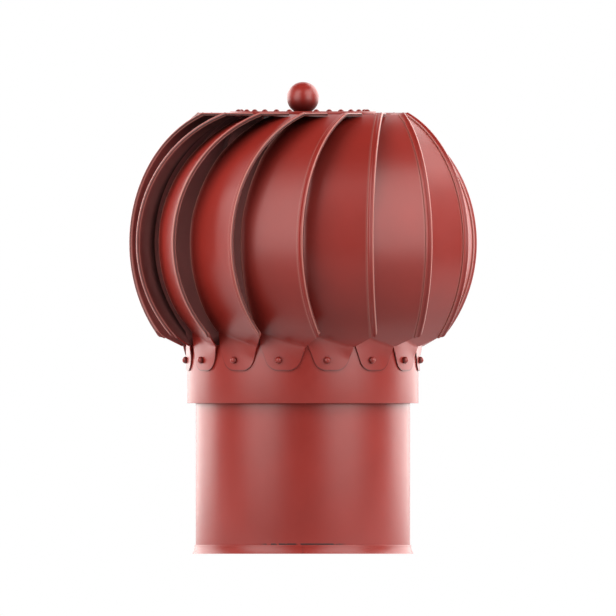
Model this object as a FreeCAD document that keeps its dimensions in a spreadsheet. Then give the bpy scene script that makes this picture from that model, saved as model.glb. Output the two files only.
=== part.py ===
import FreeCAD, Part
import math
import os
import Sketcher
from FreeCAD import Rotation, Vector

# Rotating chimney cowl. Millimetres and degrees, +Z up, origin on the flue axis at the foot of the pipe.
# The front of the cowl faces -Y.

doc = FreeCAD.newDocument("rotating_cowl")

# Driving dimensions, one cell each.
DIMENSIONS = [
    # flue pipe and the flared ring round its foot
    ("pipe_radius", 75.0),
    ("pipe_sheet", 0.8),
    ("pipe_height", 140.0),
    ("ring_height", 6.2),
    ("ring_sheet", 0.7),
    ("ring_flare", 1.7),
    ("ring_curve", 14.0),
    ("ring_seam", 0.3),
    # turning collar over the top of the pipe
    ("collar_gap", 5.1),
    ("collar_sheet", 0.8),
    ("collar_rise", 6.0),
    ("collar_height", 40.6),
    # rolled blades
    ("blade_count", 15),
    ("blade_angle", 30.0),
    ("blade_sheet", 0.8),
    ("blade_width", 51.0),
    ("head_radius", 122.2),
    ("roll_axis", 9.03),
    ("roll_turn", 69.36),
    ("hem_width", 6.0),
    ("taper_start", 17.0),
    ("taper_depth", 4.9),
    ("taper_knee", 62.4),
    ("corner_depth", 13.0),
    ("top_bend", 2.0),
    ("flange_reach", 16.5),
    ("flap_reach", 8.5),
    ("flap_round", 5.5),
    ("edge_rise", 8.8),
    ("edge_round", 5.0),
    # riveted tab at the foot of each blade
    ("tab_gap", 1.4),
    ("tab_drop", 18.0),
    ("fold_drop", 1.13),
    ("tab_shift", 3.1),
    ("tab_foot_width", 20.0),
    ("tab_corner", 6.5),
    ("rivet_drop", 10.4),
    # crown disc and knob
    ("disc_edge", 5.8),
    ("disc_sheet", 2.2),
    ("crown_washer_radius", 18.0),
    ("crown_washer_sheet", 2.5),
    ("knob_radius", 11.2),
    ("knob_seat", 6.2),
    # rivets
    ("rivet_shank", 1.4),
    ("rivet_tail", 2.6),
    ("rivet_tail_height", 0.8),
    ("rivet_ball", 2.25),
    ("rivet_ball_rise", 1.55),
    ("rivet_dome", 2.2),
    ("rivet_dome_height", 1.4),
    # spider that carries the bearing housing above the pipe
    ("leg_count", 3),
    ("leg_width", 16.0),
    ("leg_sheet", 2.0),
    ("leg_foot", 22.0),
    ("leg_ledge", 5.0),
    ("hub_rise", 18.0),
    ("hub_radius", 28.0),
    ("hub_hole", 9.0),
    # bearing housing and its screws
    ("housing_flange", 26.0),
    ("flange_height", 4.0),
    ("housing_radius", 15.5),
    ("lip_radius", 8.6),
    ("lip_height", 3.0),
    ("housing_rim", 2.0),
    ("screw_circle", 20.5),
    ("screw_radius", 2.5),
    ("screw_flats", 8.0),
    ("screw_head", 3.5),
    ("screw_nut", 4.0),
    ("screw_end", 2.0),
    # shaft
    ("shaft_radius", 6.0),
    ("journal_radius", 4.0),
    ("shaft_nut_flats", 13.0),
    ("shaft_nut_height", 6.5),
    ("shaft_washer_radius", 6.0),
    ("shaft_washer_sheet", 1.2),
    ("thread_end", 2.0),
    # ball bearings
    ("bearing_radius", 11.0),
    ("bearing_width", 7.0),
    ("bearing_spread", 23.0),
    ("ball_count", 7),
    ("ball_radius", 1.98),
    ("race_opening", 2.6),
    ("cage_sheet", 1.1),
    ("cage_height", 5.0),
    ("spacer_sheet", 1.2),
    ("snap_sheet", 1.1),
    ("snap_depth", 0.9),
    ("snap_opening", 6.0),
    # clearances
    ("fit_gap", 0.05),
    ("run_gap", 0.1),
    ("cut_room", 5.0),
]

# Places worked out from the driving dimensions.
PLACES = [
    ("half_pitch", "180 / dim.blade_count"),
    ("pipe_bore", "dim.pipe_radius - dim.pipe_sheet"),
    ("ring_bore", "dim.pipe_radius + dim.fit_gap"),
    ("ring_top", "ring_bore + dim.ring_sheet"),
    ("collar_bore", "dim.pipe_radius + dim.collar_gap"),
    ("collar_radius", "collar_bore + dim.collar_sheet"),
    ("collar_top", "dim.pipe_height + dim.collar_rise"),
    ("collar_bottom", "collar_top - dim.collar_height"),
    ("rivet_hole", "dim.rivet_shank + dim.fit_gap"),
    # blade, in its own frame: +X along the outward normal of the strip at mid-height, +Y to the outer edge
    ("edge_y", "dim.head_radius * sin(dim.blade_angle)"),
    ("inner_y", "edge_y - dim.blade_width"),
    ("hem_face", "dim.head_radius * cos(dim.blade_angle)"),
    ("strip_face", "hem_face - dim.blade_sheet"),
    ("strip_back", "strip_face - dim.blade_sheet"),
    ("roll_radius", "strip_face - dim.roll_axis"),
    ("roll_inner", "roll_radius - dim.blade_sheet"),
    ("tab_turn", "dim.blade_angle - half_pitch"),
    ("tab_plane", "collar_radius + dim.fit_gap"),
    ("tab_face", "tab_plane + dim.blade_sheet"),
    ("tab_half", "tab_plane * tan(half_pitch) - dim.tab_gap / 2"),
    ("tab_left", "dim.tab_shift - tab_half"),
    ("tab_right", "dim.tab_shift + tab_half"),
    ("fold_x", "tab_face * cos(tab_turn) - tab_right * sin(tab_turn)"),
    ("fold_y", "tab_face * sin(tab_turn) + tab_right * cos(tab_turn)"),
    ("tab_foot", "collar_top - dim.tab_drop"),
    ("tab_rivet", "collar_top - dim.rivet_drop"),
    ("fold_z", "collar_top - dim.fold_drop"),
    ("head_middle", "fold_z + sqrt(roll_radius ^ 2 - (fold_x - dim.roll_axis) ^ 2)"),
    ("strip_low", "head_middle - roll_radius - dim.cut_room"),
    ("edge_foot", "fold_z + dim.edge_rise"),
    ("foot_slope", "atan(dim.edge_rise / (edge_y - fold_y)) / 1 deg"),
    ("foot_reach", "dim.edge_round * tan((90 - foot_slope) / 2)"),
    ("bend_z", "head_middle + (roll_radius - dim.top_bend) * sin(dim.roll_turn)"),
    ("bend_x", "dim.roll_axis + (roll_radius - dim.top_bend) * cos(dim.roll_turn)"),
    ("head_top", "bend_z + dim.top_bend"),
    ("hem_top", "head_top + dim.blade_sheet"),
    ("bend_inner", "dim.top_bend - dim.blade_sheet"),
    ("bend_hem", "dim.top_bend + dim.blade_sheet"),
    ("flap_under", "head_top - dim.blade_sheet"),
    ("flap_x", "bend_x - dim.flap_reach"),
    ("crown_circle", "flap_x / cos(dim.blade_angle + half_pitch)"),
    ("flap_y", "crown_circle * sin(dim.blade_angle + half_pitch)"),
    ("flap_end", "flap_x - dim.flap_round"),
    ("flap_side", "flap_y + dim.flap_round"),
    ("flange_tip", "bend_x - dim.flange_reach"),
    ("flange_end", "min(flap_end, flange_tip)"),
    ("flange_root", "max(flap_x, flange_tip + (edge_y - flap_side) * tan(2 * half_pitch))"),
    ("taper_z", "head_middle + dim.taper_start"),
    ("knee_z", "head_middle + dim.taper_knee"),
    ("knee_y", "inner_y + dim.taper_depth"),
    ("corner_y", "inner_y + dim.corner_depth"),
    # crown
    ("disc_radius", "crown_circle + dim.disc_edge"),
    ("disc_top", "head_top + dim.disc_sheet"),
    ("crown_washer_under", "head_top - dim.crown_washer_sheet"),
    ("knob_centre", "disc_top + sqrt(dim.knob_radius ^ 2 - dim.knob_seat ^ 2)"),
    ("knob_top", "knob_centre + dim.knob_radius"),
    # spider and bearing stack, from the pipe's rim upwards
    ("leg_bore", "dim.pipe_radius + dim.fit_gap"),
    ("leg_outer", "leg_bore + dim.leg_sheet"),
    ("rim_under", "dim.pipe_height + dim.fit_gap"),
    ("rim_top", "rim_under + dim.leg_sheet"),
    ("leg_low", "dim.pipe_height - dim.leg_foot"),
    ("ledge_x", "pipe_bore - dim.leg_ledge"),
    ("hub_under", "dim.pipe_height + dim.hub_rise"),
    ("hub_top", "hub_under + dim.leg_sheet"),
    ("flange_top", "hub_top + dim.flange_height"),
    ("lower_bearing", "hub_top + dim.lip_height"),
    ("lower_top", "lower_bearing + dim.bearing_width"),
    ("upper_bearing", "lower_top + dim.bearing_spread"),
    ("upper_top", "upper_bearing + dim.bearing_width"),
    ("snap_under", "upper_top + dim.run_gap"),
    ("snap_top", "snap_under + dim.snap_sheet"),
    ("housing_bore", "dim.bearing_radius + dim.fit_gap"),
    ("snap_groove", "housing_bore + dim.snap_depth"),
    ("groove_top", "snap_top + dim.run_gap"),
    ("housing_top", "groove_top + dim.housing_rim"),
    ("screw_hole", "dim.screw_radius + dim.run_gap"),
    ("race_bore", "dim.journal_radius + dim.fit_gap"),
    ("ball_circle", "(dim.journal_radius + dim.bearing_radius) / 2"),
    ("inner_lip", "ball_circle - dim.race_opening / 2"),
    ("outer_lip", "ball_circle + dim.race_opening / 2"),
    ("groove_radius", "dim.ball_radius + dim.fit_gap"),
    ("groove_half", "sqrt(groove_radius ^ 2 - (dim.race_opening / 2) ^ 2)"),
    ("race_middle", "dim.bearing_width / 2"),
    ("washer_under", "lower_bearing - dim.shaft_washer_sheet"),
    ("nut_under", "washer_under - dim.shaft_nut_height"),
    ("shaft_foot", "nut_under - dim.thread_end"),
]


def fill_sheet(name, rows, prefix):
    """Sheet whose rows hold an alias and its value, or its formula where prefix is an equals sign."""
    sheet = doc.addObject("Spreadsheet::Sheet", name)
    for number, (alias, content) in enumerate(rows, start=1):
        sheet.set(f"A{number}", alias)
        sheet.set(f"B{number}", prefix + str(content))
        sheet.setAlias(f"B{number}", alias)
    doc.recompute()
    return sheet


dim = fill_sheet("dim", DIMENSIONS, "")
place = fill_sheet("place", PLACES, "=")


def value(text):
    """Number that an expression on the two sheets gives now."""
    return float(dim.evalExpression(text))


def origin_part(body, role):
    """Plane or axis of the body's own origin."""
    return next(item for item in body.Origin.OriginFeatures if item.Role == role)


def new_body(label, lift=None, turn=None):
    """Empty body, lifted along Z and turned about Z by expressions."""
    body = doc.addObject("PartDesign::Body", label)
    body.Label = label
    body.AllowCompound = True
    if lift:
        body.setExpression("Placement.Base.z", lift)
    if turn:
        body.Placement.Rotation = Rotation(Vector(0, 0, 1), value(turn))
        body.setExpression("Placement.Rotation.Angle", turn)
    return body


def new_sketch(body, name, role, lift=None):
    """Sketch on one of the body's origin planes, lifted along the plane's normal by an expression."""
    sketch = body.newObject("Sketcher::SketchObject", name)
    sketch.AttachmentSupport = [(origin_part(body, role), "")]
    sketch.MapMode = "FlatFace"
    if lift:
        sketch.setExpression("AttachmentOffset.Base.z", lift)
    return sketch


def hold_point(sketch, edge, end, x, y):
    """Hold an end of an edge at the place that two expressions give."""
    for kind, text, axis in (("DistanceX", x, -2), ("DistanceY", y, -1)):
        if text == "0":
            sketch.addConstraint(Sketcher.Constraint("PointOnObject", edge, end, axis))
            continue
        number = sketch.addConstraint(Sketcher.Constraint(kind, -1, 1, edge, end, value(text)))
        sketch.setExpression(f"Constraints[{number}]", text)


def arc_between(start, end, radius, turn):
    """Arc under half a circle from start to end, anticlockwise where turn is 1 and clockwise where -1."""
    chord = end - start
    reach = math.sqrt(radius ** 2 - (chord.Length / 2) ** 2)
    across = Vector(-chord.y, chord.x, 0).normalize()
    centre = (start + end) * 0.5 + across * (reach * turn)
    ends = (start, end) if turn > 0 else (end, start)
    angles = [math.atan2(point.y - centre.y, point.x - centre.x) for point in ends]
    return Part.ArcOfCircle(Part.Circle(centre, Vector(0, 0, 1), radius), *angles)


def outline(sketch, corners):
    """Closed outline. A corner is (x, y), or (x, y, radius, turn) where an arc leads on from it."""
    points = [Vector(value(corner[0]), value(corner[1]), 0) for corner in corners]
    edges = []
    for index, corner in enumerate(corners):
        start = points[index]
        end = points[(index + 1) % len(points)]
        turn = corner[3] if len(corner) > 2 else 0
        shape = arc_between(start, end, value(corner[2]), turn) if turn else Part.LineSegment(start, end)
        edge = sketch.addGeometry(shape)
        first, last = (2, 1) if turn < 0 else (1, 2)
        edges.append((edge, first, last))
    for index, corner in enumerate(corners):
        edge, first, last = edges[index]
        before, _, before_last = edges[index - 1]
        sketch.addConstraint(Sketcher.Constraint("Coincident", before, before_last, edge, first))
        hold_point(sketch, edge, first, corner[0], corner[1])
        if len(corner) > 2:
            number = sketch.addConstraint(Sketcher.Constraint("Radius", edge, value(corner[2])))
            sketch.setExpression(f"Constraints[{number}]", corner[2])


def circle(sketch, x, y, radius):
    """Circle with its centre and radius held by expressions."""
    centre = Vector(value(x), value(y), 0)
    edge = sketch.addGeometry(Part.Circle(centre, Vector(0, 0, 1), value(radius)))
    hold_point(sketch, edge, 3, x, y)
    number = sketch.addConstraint(Sketcher.Constraint("Radius", edge, value(radius)))
    sketch.setExpression(f"Constraints[{number}]", radius)


def hexagon(sketch, x, y, flats):
    """Hexagon across the given flats, with two corners on the line of its centre along X."""
    reach = f"({flats}) / 2 / cos(30)"
    steps = [("1", "0"), ("0.5", "0.5"), ("-0.5", "0.5"), ("-1", "0"), ("-0.5", "-0.5"), ("0.5", "-0.5")]
    corners = [(f"{x} + {reach} * {along}", f"{y} + ({flats}) * {up}") for along, up in steps]
    outline(sketch, corners)


def axis_line(sketch, start, end):
    """Construction line that a section turns about, between two pairs of expressions."""
    points = [Vector(value(x), value(y), 0) for x, y in (start, end)]
    edge = sketch.addGeometry(Part.LineSegment(*points), True)
    hold_point(sketch, edge, 1, *start)
    hold_point(sketch, edge, 2, *end)


def revolve(body, sketch, axis="V_Axis"):
    """Full turn of a section about its sketch's own axis."""
    feature = body.newObject("PartDesign::Revolution", "turned")
    feature.Profile = sketch
    feature.ReferenceAxis = (sketch, [axis])
    feature.Angle = 360
    return feature


def pad(body, sketch, length, name="pad", reverse=False, middle=False):
    """Sketch pushed out by a length."""
    feature = body.newObject("PartDesign::Pad", name)
    feature.Profile = sketch
    feature.setExpression("Length", length)
    feature.Reversed = reverse
    feature.SideType = "Symmetric" if middle else "One side"
    return feature


def cut(body, sketch, name="cut", reverse=False, middle=False):
    """Sketch cut through everything on one side of it, or on both."""
    feature = body.newObject("PartDesign::Pocket", name)
    feature.Profile = sketch
    feature.Type = "ThroughAll"
    feature.Reversed = reverse
    feature.SideType = "Symmetric" if middle else "One side"
    return feature


def around(body, features, count):
    """Features repeated evenly about the body's Z axis."""
    pattern = body.newObject("PartDesign::PolarPattern", "around")
    pattern.Originals = features
    pattern.Axis = (origin_part(body, "Z_Axis"), [""])
    pattern.Angle = 360
    pattern.setExpression("Occurrences", count)
    body.Tip = pattern
    return pattern


def turned(label, section, lift=None):
    """Piece turned about Z from a section of radius and height."""
    body = new_body(label, lift)
    sketch = new_sketch(body, "section", "XZ_Plane")
    outline(sketch, section)
    revolve(body, sketch)
    return body


def tube(label, bore, outer, low, high):
    """Plain tube, washer or ring between two radii and two heights."""
    return turned(label, [(bore, low), (outer, low), (outer, high), (bore, high)])


def base_pipe():
    tube("base_pipe", "place.pipe_bore", "dim.pipe_radius", "0", "dim.pipe_height")


def foot_ring():
    """Flared ring round the pipe's foot, rolled from strip and butted at the front."""
    flare = "place.ring_top + dim.ring_flare"
    body = turned("foot_ring", [
        ("place.ring_bore", "0"),
        (flare, "0", "dim.ring_curve", -1),
        ("place.ring_top", "dim.ring_height"),
        ("place.ring_bore", "dim.ring_height"),
    ])
    seam = new_sketch(body, "seam", "XZ_Plane")
    outline(seam, [
        ("-dim.ring_seam / 2", "-dim.cut_room"),
        ("dim.ring_seam / 2", "-dim.cut_room"),
        ("dim.ring_seam / 2", "dim.ring_height + dim.cut_room"),
        ("-dim.ring_seam / 2", "dim.ring_height + dim.cut_room"),
    ])
    cut(body, seam, "butt_seam", reverse=True)


def collar_ring():
    """Plain collar with a hole for each blade's tab rivet."""
    body = new_body("collar_ring", turn="-90 - place.half_pitch")
    section = new_sketch(body, "section", "XZ_Plane")
    outline(section, [
        ("place.collar_bore", "place.collar_bottom"),
        ("place.collar_radius", "place.collar_bottom"),
        ("place.collar_radius", "place.collar_top"),
        ("place.collar_bore", "place.collar_top"),
    ])
    revolve(body, section)
    hole = new_sketch(body, "rivet_hole", "YZ_Plane")
    circle(hole, "0", "place.tab_rivet", "place.rivet_hole")
    around(body, [cut(body, hole, reverse=True)], "dim.blade_count")


def tab_sketch(body, name):
    """Sketch on the plane of the tab's inner face, which is tangent to the collar."""
    sketch = new_sketch(body, name, "YZ_Plane")
    sketch.AttachmentOffset.Rotation = Rotation(Vector(0, 1, 0), value("place.tab_turn"))
    sketch.setExpression("AttachmentOffset.Rotation.Angle", "place.tab_turn")
    sketch.setExpression("AttachmentOffset.Base.x", "place.tab_plane * sin(place.tab_turn)")
    sketch.setExpression("AttachmentOffset.Base.z", "place.tab_plane * cos(place.tab_turn)")
    return sketch


def blade_tab(body):
    """Flat plate against the collar, narrowing to rounded lower corners, up to the hollow of the strip."""
    plate = tab_sketch(body, "tab_outline")
    outline(plate, [
        ("dim.tab_shift - dim.tab_foot_width / 2", "place.tab_foot"),
        ("dim.tab_shift + dim.tab_foot_width / 2", "place.tab_foot"),
        ("place.tab_right", "place.collar_top"),
        ("place.tab_right", "place.head_middle"),
        ("place.tab_left", "place.head_middle"),
        ("place.tab_left", "place.collar_top"),
    ])
    circle(plate, "0", "place.tab_rivet", "place.rivet_hole")
    tab = pad(body, plate, "dim.blade_sheet", "tab")
    doc.recompute()
    low = value("place.tab_foot")
    corners = [
        f"Edge{number}" for number, edge in enumerate(tab.Shape.Edges, start=1)
        if edge.BoundBox.ZLength < dim.fit_gap and abs(edge.CenterOfMass.z - low) < dim.fit_gap
        and edge.Length < dim.blade_sheet + dim.fit_gap
    ]
    rounded = body.newObject("PartDesign::Fillet", "tab_corners")
    rounded.Base = (tab, corners)
    rounded.setExpression("Radius", "dim.tab_corner")
    hollow = new_sketch(body, "strip_hollow", "XZ_Plane")
    circle(hollow, "dim.roll_axis", "place.head_middle", "place.roll_inner")
    cut(body, hollow, "up_to_strip", middle=True)


def blade_strip(body):
    """Strip with its hemmed outer edge, rolled about a level axis."""
    section = new_sketch(body, "strip_section", "XY_Plane", "place.head_middle")
    outline(section, [
        ("place.strip_back", "place.inner_y"),
        ("place.strip_face", "place.inner_y"),
        ("place.strip_face", "place.edge_y - dim.hem_width"),
        ("place.hem_face", "place.edge_y - dim.hem_width"),
        ("place.hem_face", "place.edge_y - dim.blade_sheet", "dim.blade_sheet", 1),
        ("place.strip_face", "place.edge_y", "dim.blade_sheet", 1),
        ("place.strip_back", "place.edge_y - dim.blade_sheet"),
    ])
    axis_line(section, ("dim.roll_axis", "place.inner_y"), ("dim.roll_axis", "place.edge_y"))
    strip = revolve(body, section, "Axis0")
    strip.setExpression("Angle", "2 * dim.roll_turn")
    strip.Midplane = True


def blade_flap(body):
    """Top of the strip bent level: a hemmed flange that fills the slot up to the next blade, and one rounded
    tongue for the crown rivet."""
    cos_turn = "cos(dim.roll_turn)"
    sin_turn = "sin(dim.roll_turn)"
    bend = new_sketch(body, "flap_section", "XZ_Plane")
    outline(bend, [
        (f"place.bend_x + dim.top_bend * {cos_turn}", f"place.bend_z + dim.top_bend * {sin_turn}",
         "dim.top_bend", 1),
        ("place.bend_x", "place.head_top"),
        ("place.flange_end", "place.head_top"),
        ("place.flange_end", "place.flap_under"),
        ("place.bend_x", "place.flap_under", "place.bend_inner", -1),
        (f"place.bend_x + place.bend_inner * {cos_turn}", f"place.bend_z + place.bend_inner * {sin_turn}"),
    ])
    pad(body, bend, "place.edge_y", "flap", reverse=True)
    hem = new_sketch(body, "hem_flap_section", "XZ_Plane", "dim.hem_width - place.edge_y")
    outline(hem, [
        (f"place.bend_x + place.bend_hem * {cos_turn}", f"place.bend_z + place.bend_hem * {sin_turn}",
         "place.bend_hem", 1),
        ("place.bend_x", "place.hem_top"),
        ("place.flange_end", "place.hem_top"),
        ("place.flange_end", "place.head_top"),
        ("place.bend_x", "place.head_top", "dim.top_bend", -1),
        (f"place.bend_x + dim.top_bend * {cos_turn}", f"place.bend_z + dim.top_bend * {sin_turn}"),
    ])
    pad(body, hem, "dim.hem_width", "hem_flap", reverse=True)
    tongue = new_sketch(body, "tongue_outline", "XY_Plane", "place.bend_z")
    outline(tongue, [
        ("place.bend_x", "-dim.cut_room"),
        ("place.bend_x", "place.flap_y - dim.flap_round"),
        ("place.flap_x", "place.flap_y - dim.flap_round", "dim.flap_round", -1),
        ("place.flap_end", "place.flap_y", "dim.flap_round", -1),
        ("place.flap_x", "place.flap_side"),
        ("place.flange_root", "place.flap_side"),
        ("place.flange_tip", "place.edge_y"),
        ("place.flange_tip", "place.edge_y + dim.cut_room"),
        ("place.flange_end - dim.cut_room", "place.edge_y + dim.cut_room"),
        ("place.flange_end - dim.cut_room", "-dim.cut_room"),
    ])
    circle(tongue, "place.flap_x", "place.flap_y", "place.rivet_hole")
    cut(body, tongue, "tongue", reverse=True)


def blade_trims(body):
    """Free edges of the strip: the foot above the tab, the slanting lower edge, the narrowing level top."""
    behind = tab_sketch(body, "behind_tab")
    outline(behind, [
        ("-place.edge_y", "place.strip_low"),
        ("place.edge_y", "place.strip_low"),
        ("place.edge_y", "place.head_middle"),
        ("-place.edge_y", "place.head_middle"),
    ])
    cut(body, behind, "strip_foot")
    slant = new_sketch(body, "lower_edge", "YZ_Plane")
    outline(slant, [
        ("place.fold_y", "place.strip_low"),
        ("place.edge_y + dim.cut_room", "place.strip_low"),
        ("place.edge_y + dim.cut_room", "place.edge_foot + place.foot_reach"),
        ("place.edge_y", "place.edge_foot + place.foot_reach", "dim.edge_round", -1),
        ("place.edge_y - place.foot_reach * cos(place.foot_slope)",
         "place.edge_foot - place.foot_reach * sin(place.foot_slope)"),
        ("place.fold_y", "place.fold_z"),
    ])
    cut(body, slant, "lower_edge_cut", reverse=True)
    taper = new_sketch(body, "upper_edge", "YZ_Plane")
    outline(taper, [
        ("-dim.cut_room", "place.taper_z"),
        ("place.inner_y", "place.taper_z"),
        ("place.knee_y", "place.knee_z"),
        ("place.corner_y", "place.head_top"),
        ("place.corner_y", "place.head_top + dim.cut_room"),
        ("-dim.cut_room", "place.head_top + dim.cut_room"),
    ])
    cut(body, taper, "upper_edge_cut", reverse=True)


def blades():
    """One blade made in full, and its copies set evenly round the axis."""
    first = new_body("blade_01", turn="-90 - dim.blade_angle")
    blade_tab(first)
    blade_strip(first)
    blade_flap(first)
    blade_trims(first)
    for number in range(1, int(dim.blade_count)):
        turn = f"-90 - dim.blade_angle + {number} * 360 / dim.blade_count"
        copy = new_body(f"blade_{number + 1:02d}", turn=turn)
        same = copy.newObject("PartDesign::FeatureBase", "same_blade")
        same.BaseFeature = first
        copy.Tip = same


def collar_rivets():
    """Round-headed rivets through the tabs and the collar, one to each blade."""
    body = new_body("collar_rivets", turn="-90 - place.half_pitch")
    tail = "sqrt(place.collar_bore ^ 2 - dim.rivet_tail ^ 2) - dim.fit_gap"
    centre = "place.tab_face + dim.rivet_ball_rise"
    base = "sqrt(dim.rivet_ball ^ 2 - dim.rivet_ball_rise ^ 2)"
    section = new_sketch(body, "section", "XZ_Plane")
    outline(section, [
        (f"{tail} - dim.rivet_tail_height", "place.tab_rivet"),
        (f"{centre} + dim.rivet_ball", "place.tab_rivet", "dim.rivet_ball", 1),
        ("place.tab_face", f"place.tab_rivet + {base}"),
        ("place.tab_face", "place.tab_rivet + dim.rivet_shank"),
        (tail, "place.tab_rivet + dim.rivet_shank"),
        (tail, "place.tab_rivet + dim.rivet_tail"),
        (f"{tail} - dim.rivet_tail_height", "place.tab_rivet + dim.rivet_tail"),
    ])
    axis_line(section, ("place.collar_bore", "place.tab_rivet"), ("place.tab_face", "place.tab_rivet"))
    around(body, [revolve(body, section, "Axis0")], "dim.blade_count")


def crown_rivets():
    """Low domed rivets through the crown disc and the blades' tongues."""
    body = new_body("crown_rivets", turn="-90 + place.half_pitch")
    dome = "(dim.rivet_dome ^ 2 + dim.rivet_dome_height ^ 2) / (2 * dim.rivet_dome_height)"
    section = new_sketch(body, "section", "XZ_Plane")
    outline(section, [
        ("place.crown_circle", "place.flap_under - dim.rivet_tail_height"),
        ("place.crown_circle + dim.rivet_tail", "place.flap_under - dim.rivet_tail_height"),
        ("place.crown_circle + dim.rivet_tail", "place.flap_under"),
        ("place.crown_circle + dim.rivet_shank", "place.flap_under"),
        ("place.crown_circle + dim.rivet_shank", "place.disc_top"),
        ("place.crown_circle + dim.rivet_dome", "place.disc_top", dome, 1),
        ("place.crown_circle", "place.disc_top + dim.rivet_dome_height"),
    ])
    axis_line(section, ("place.crown_circle", "place.flap_under"), ("place.crown_circle", "place.disc_top"))
    around(body, [revolve(body, section, "Axis0")], "dim.blade_count")


def crown_disc():
    """Flat disc that ties the tops of the blades to the shaft."""
    body = new_body("crown_disc", turn="-90 + place.half_pitch")
    section = new_sketch(body, "section", "XZ_Plane")
    outline(section, [
        ("place.race_bore", "place.head_top"),
        ("place.disc_radius", "place.head_top"),
        ("place.disc_radius", "place.disc_top"),
        ("place.race_bore", "place.disc_top"),
    ])
    revolve(body, section)
    hole = new_sketch(body, "rivet_hole", "XY_Plane")
    circle(hole, "place.crown_circle", "0", "place.rivet_hole")
    around(body, [cut(body, hole, reverse=True)], "dim.blade_count")


def ball_knob():
    """Ball that screws on the end of the shaft and clamps the crown disc."""
    turned("ball_knob", [
        ("place.race_bore", "place.disc_top"),
        ("dim.knob_seat", "place.disc_top", "dim.knob_radius", 1),
        ("0", "place.knob_top"),
        ("0", "place.knob_centre"),
        ("place.race_bore", "place.knob_centre"),
    ])


def shaft():
    """Stepped shaft: journals below, plain length through the head, threaded end under the knob."""
    turned("shaft", [
        ("0", "place.shaft_foot"),
        ("dim.journal_radius", "place.shaft_foot"),
        ("dim.journal_radius", "place.upper_top"),
        ("dim.shaft_radius", "place.upper_top"),
        ("dim.shaft_radius", "place.crown_washer_under"),
        ("dim.journal_radius", "place.crown_washer_under"),
        ("dim.journal_radius", "place.knob_centre - dim.run_gap"),
        ("0", "place.knob_centre - dim.run_gap"),
    ])


def shaft_fastenings():
    """Washer under the crown disc, and the washer and nut that hold the lower race on the shaft."""
    tube("crown_washer", "place.race_bore", "dim.crown_washer_radius",
         "place.crown_washer_under", "place.head_top")
    tube("shaft_washer", "place.race_bore", "dim.shaft_washer_radius",
         "place.washer_under", "place.lower_bearing")
    body = new_body("shaft_nut")
    flats = new_sketch(body, "flats", "XY_Plane", "place.nut_under")
    hexagon(flats, "0", "0", "dim.shaft_nut_flats")
    circle(flats, "0", "0", "place.race_bore")
    pad(body, flats, "dim.shaft_nut_height", "nut")


def spider():
    """Three bent legs from the pipe's rim to a raised hub with a wide hole."""
    body = new_body("spider", turn="90")
    hub = new_sketch(body, "hub_section", "XZ_Plane")
    outline(hub, [
        ("dim.hub_hole", "place.hub_under"),
        ("dim.hub_radius", "place.hub_under"),
        ("dim.hub_radius", "place.hub_top"),
        ("dim.hub_hole", "place.hub_top"),
    ])
    revolve(body, hub)
    leg = new_sketch(body, "leg_section", "XZ_Plane")
    outline(leg, [
        ("dim.housing_radius", "place.hub_under"),
        ("dim.hub_radius", "place.hub_under"),
        ("place.ledge_x", "place.rim_under"),
        ("place.leg_bore", "place.rim_under"),
        ("place.leg_bore", "place.leg_low"),
        ("place.leg_outer", "place.leg_low"),
        ("place.leg_outer", "place.rim_top"),
        ("place.ledge_x", "place.rim_top"),
        ("dim.hub_radius", "place.hub_top"),
        ("dim.housing_radius", "place.hub_top"),
    ])
    around(body, [pad(body, leg, "dim.leg_width", "leg", middle=True)], "dim.leg_count")
    hole = new_sketch(body, "screw_hole", "XY_Plane")
    circle(hole, "-dim.screw_circle", "0", "place.screw_hole")
    around(body, [cut(body, hole, reverse=True)], "dim.leg_count")


def bearing_housing():
    """Flanged sleeve with a lip under the lower bearing and a groove for the snap ring."""
    body = new_body("bearing_housing", turn="90")
    section = new_sketch(body, "section", "XZ_Plane")
    outline(section, [
        ("dim.lip_radius", "place.hub_top"),
        ("dim.housing_flange", "place.hub_top"),
        ("dim.housing_flange", "place.flange_top"),
        ("dim.housing_radius", "place.flange_top"),
        ("dim.housing_radius", "place.housing_top"),
        ("place.housing_bore", "place.housing_top"),
        ("place.housing_bore", "place.groove_top"),
        ("place.snap_groove", "place.groove_top"),
        ("place.snap_groove", "place.upper_top"),
        ("place.housing_bore", "place.upper_top"),
        ("place.housing_bore", "place.lower_bearing"),
        ("dim.lip_radius", "place.lower_bearing"),
    ])
    revolve(body, section)
    hole = new_sketch(body, "screw_hole", "XY_Plane")
    circle(hole, "-dim.screw_circle", "0", "place.screw_hole")
    around(body, [cut(body, hole, reverse=True)], "dim.leg_count")


def housing_screws():
    """Hexagon screws down through the flange and the hub, and the nuts under the hub."""
    screws = new_body("housing_screws", turn="90")
    head = new_sketch(screws, "head", "XY_Plane", "place.flange_top")
    hexagon(head, "-dim.screw_circle", "0", "dim.screw_flats")
    heads = pad(screws, head, "dim.screw_head", "head")
    shank = new_sketch(screws, "shank", "XY_Plane", "place.flange_top")
    circle(shank, "-dim.screw_circle", "0", "dim.screw_radius")
    length = "place.flange_top - place.hub_under + dim.screw_nut + dim.screw_end"
    shanks = pad(screws, shank, length, "shank", reverse=True)
    around(screws, [heads, shanks], "dim.leg_count")
    nuts = new_body("housing_nuts", turn="90")
    flats = new_sketch(nuts, "flats", "XY_Plane", "place.hub_under - dim.screw_nut")
    hexagon(flats, "-dim.screw_circle", "0", "dim.screw_flats")
    circle(flats, "-dim.screw_circle", "0", "dim.screw_radius + dim.fit_gap")
    around(nuts, [pad(nuts, flats, "dim.screw_nut", "nut")], "dim.leg_count")


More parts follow.
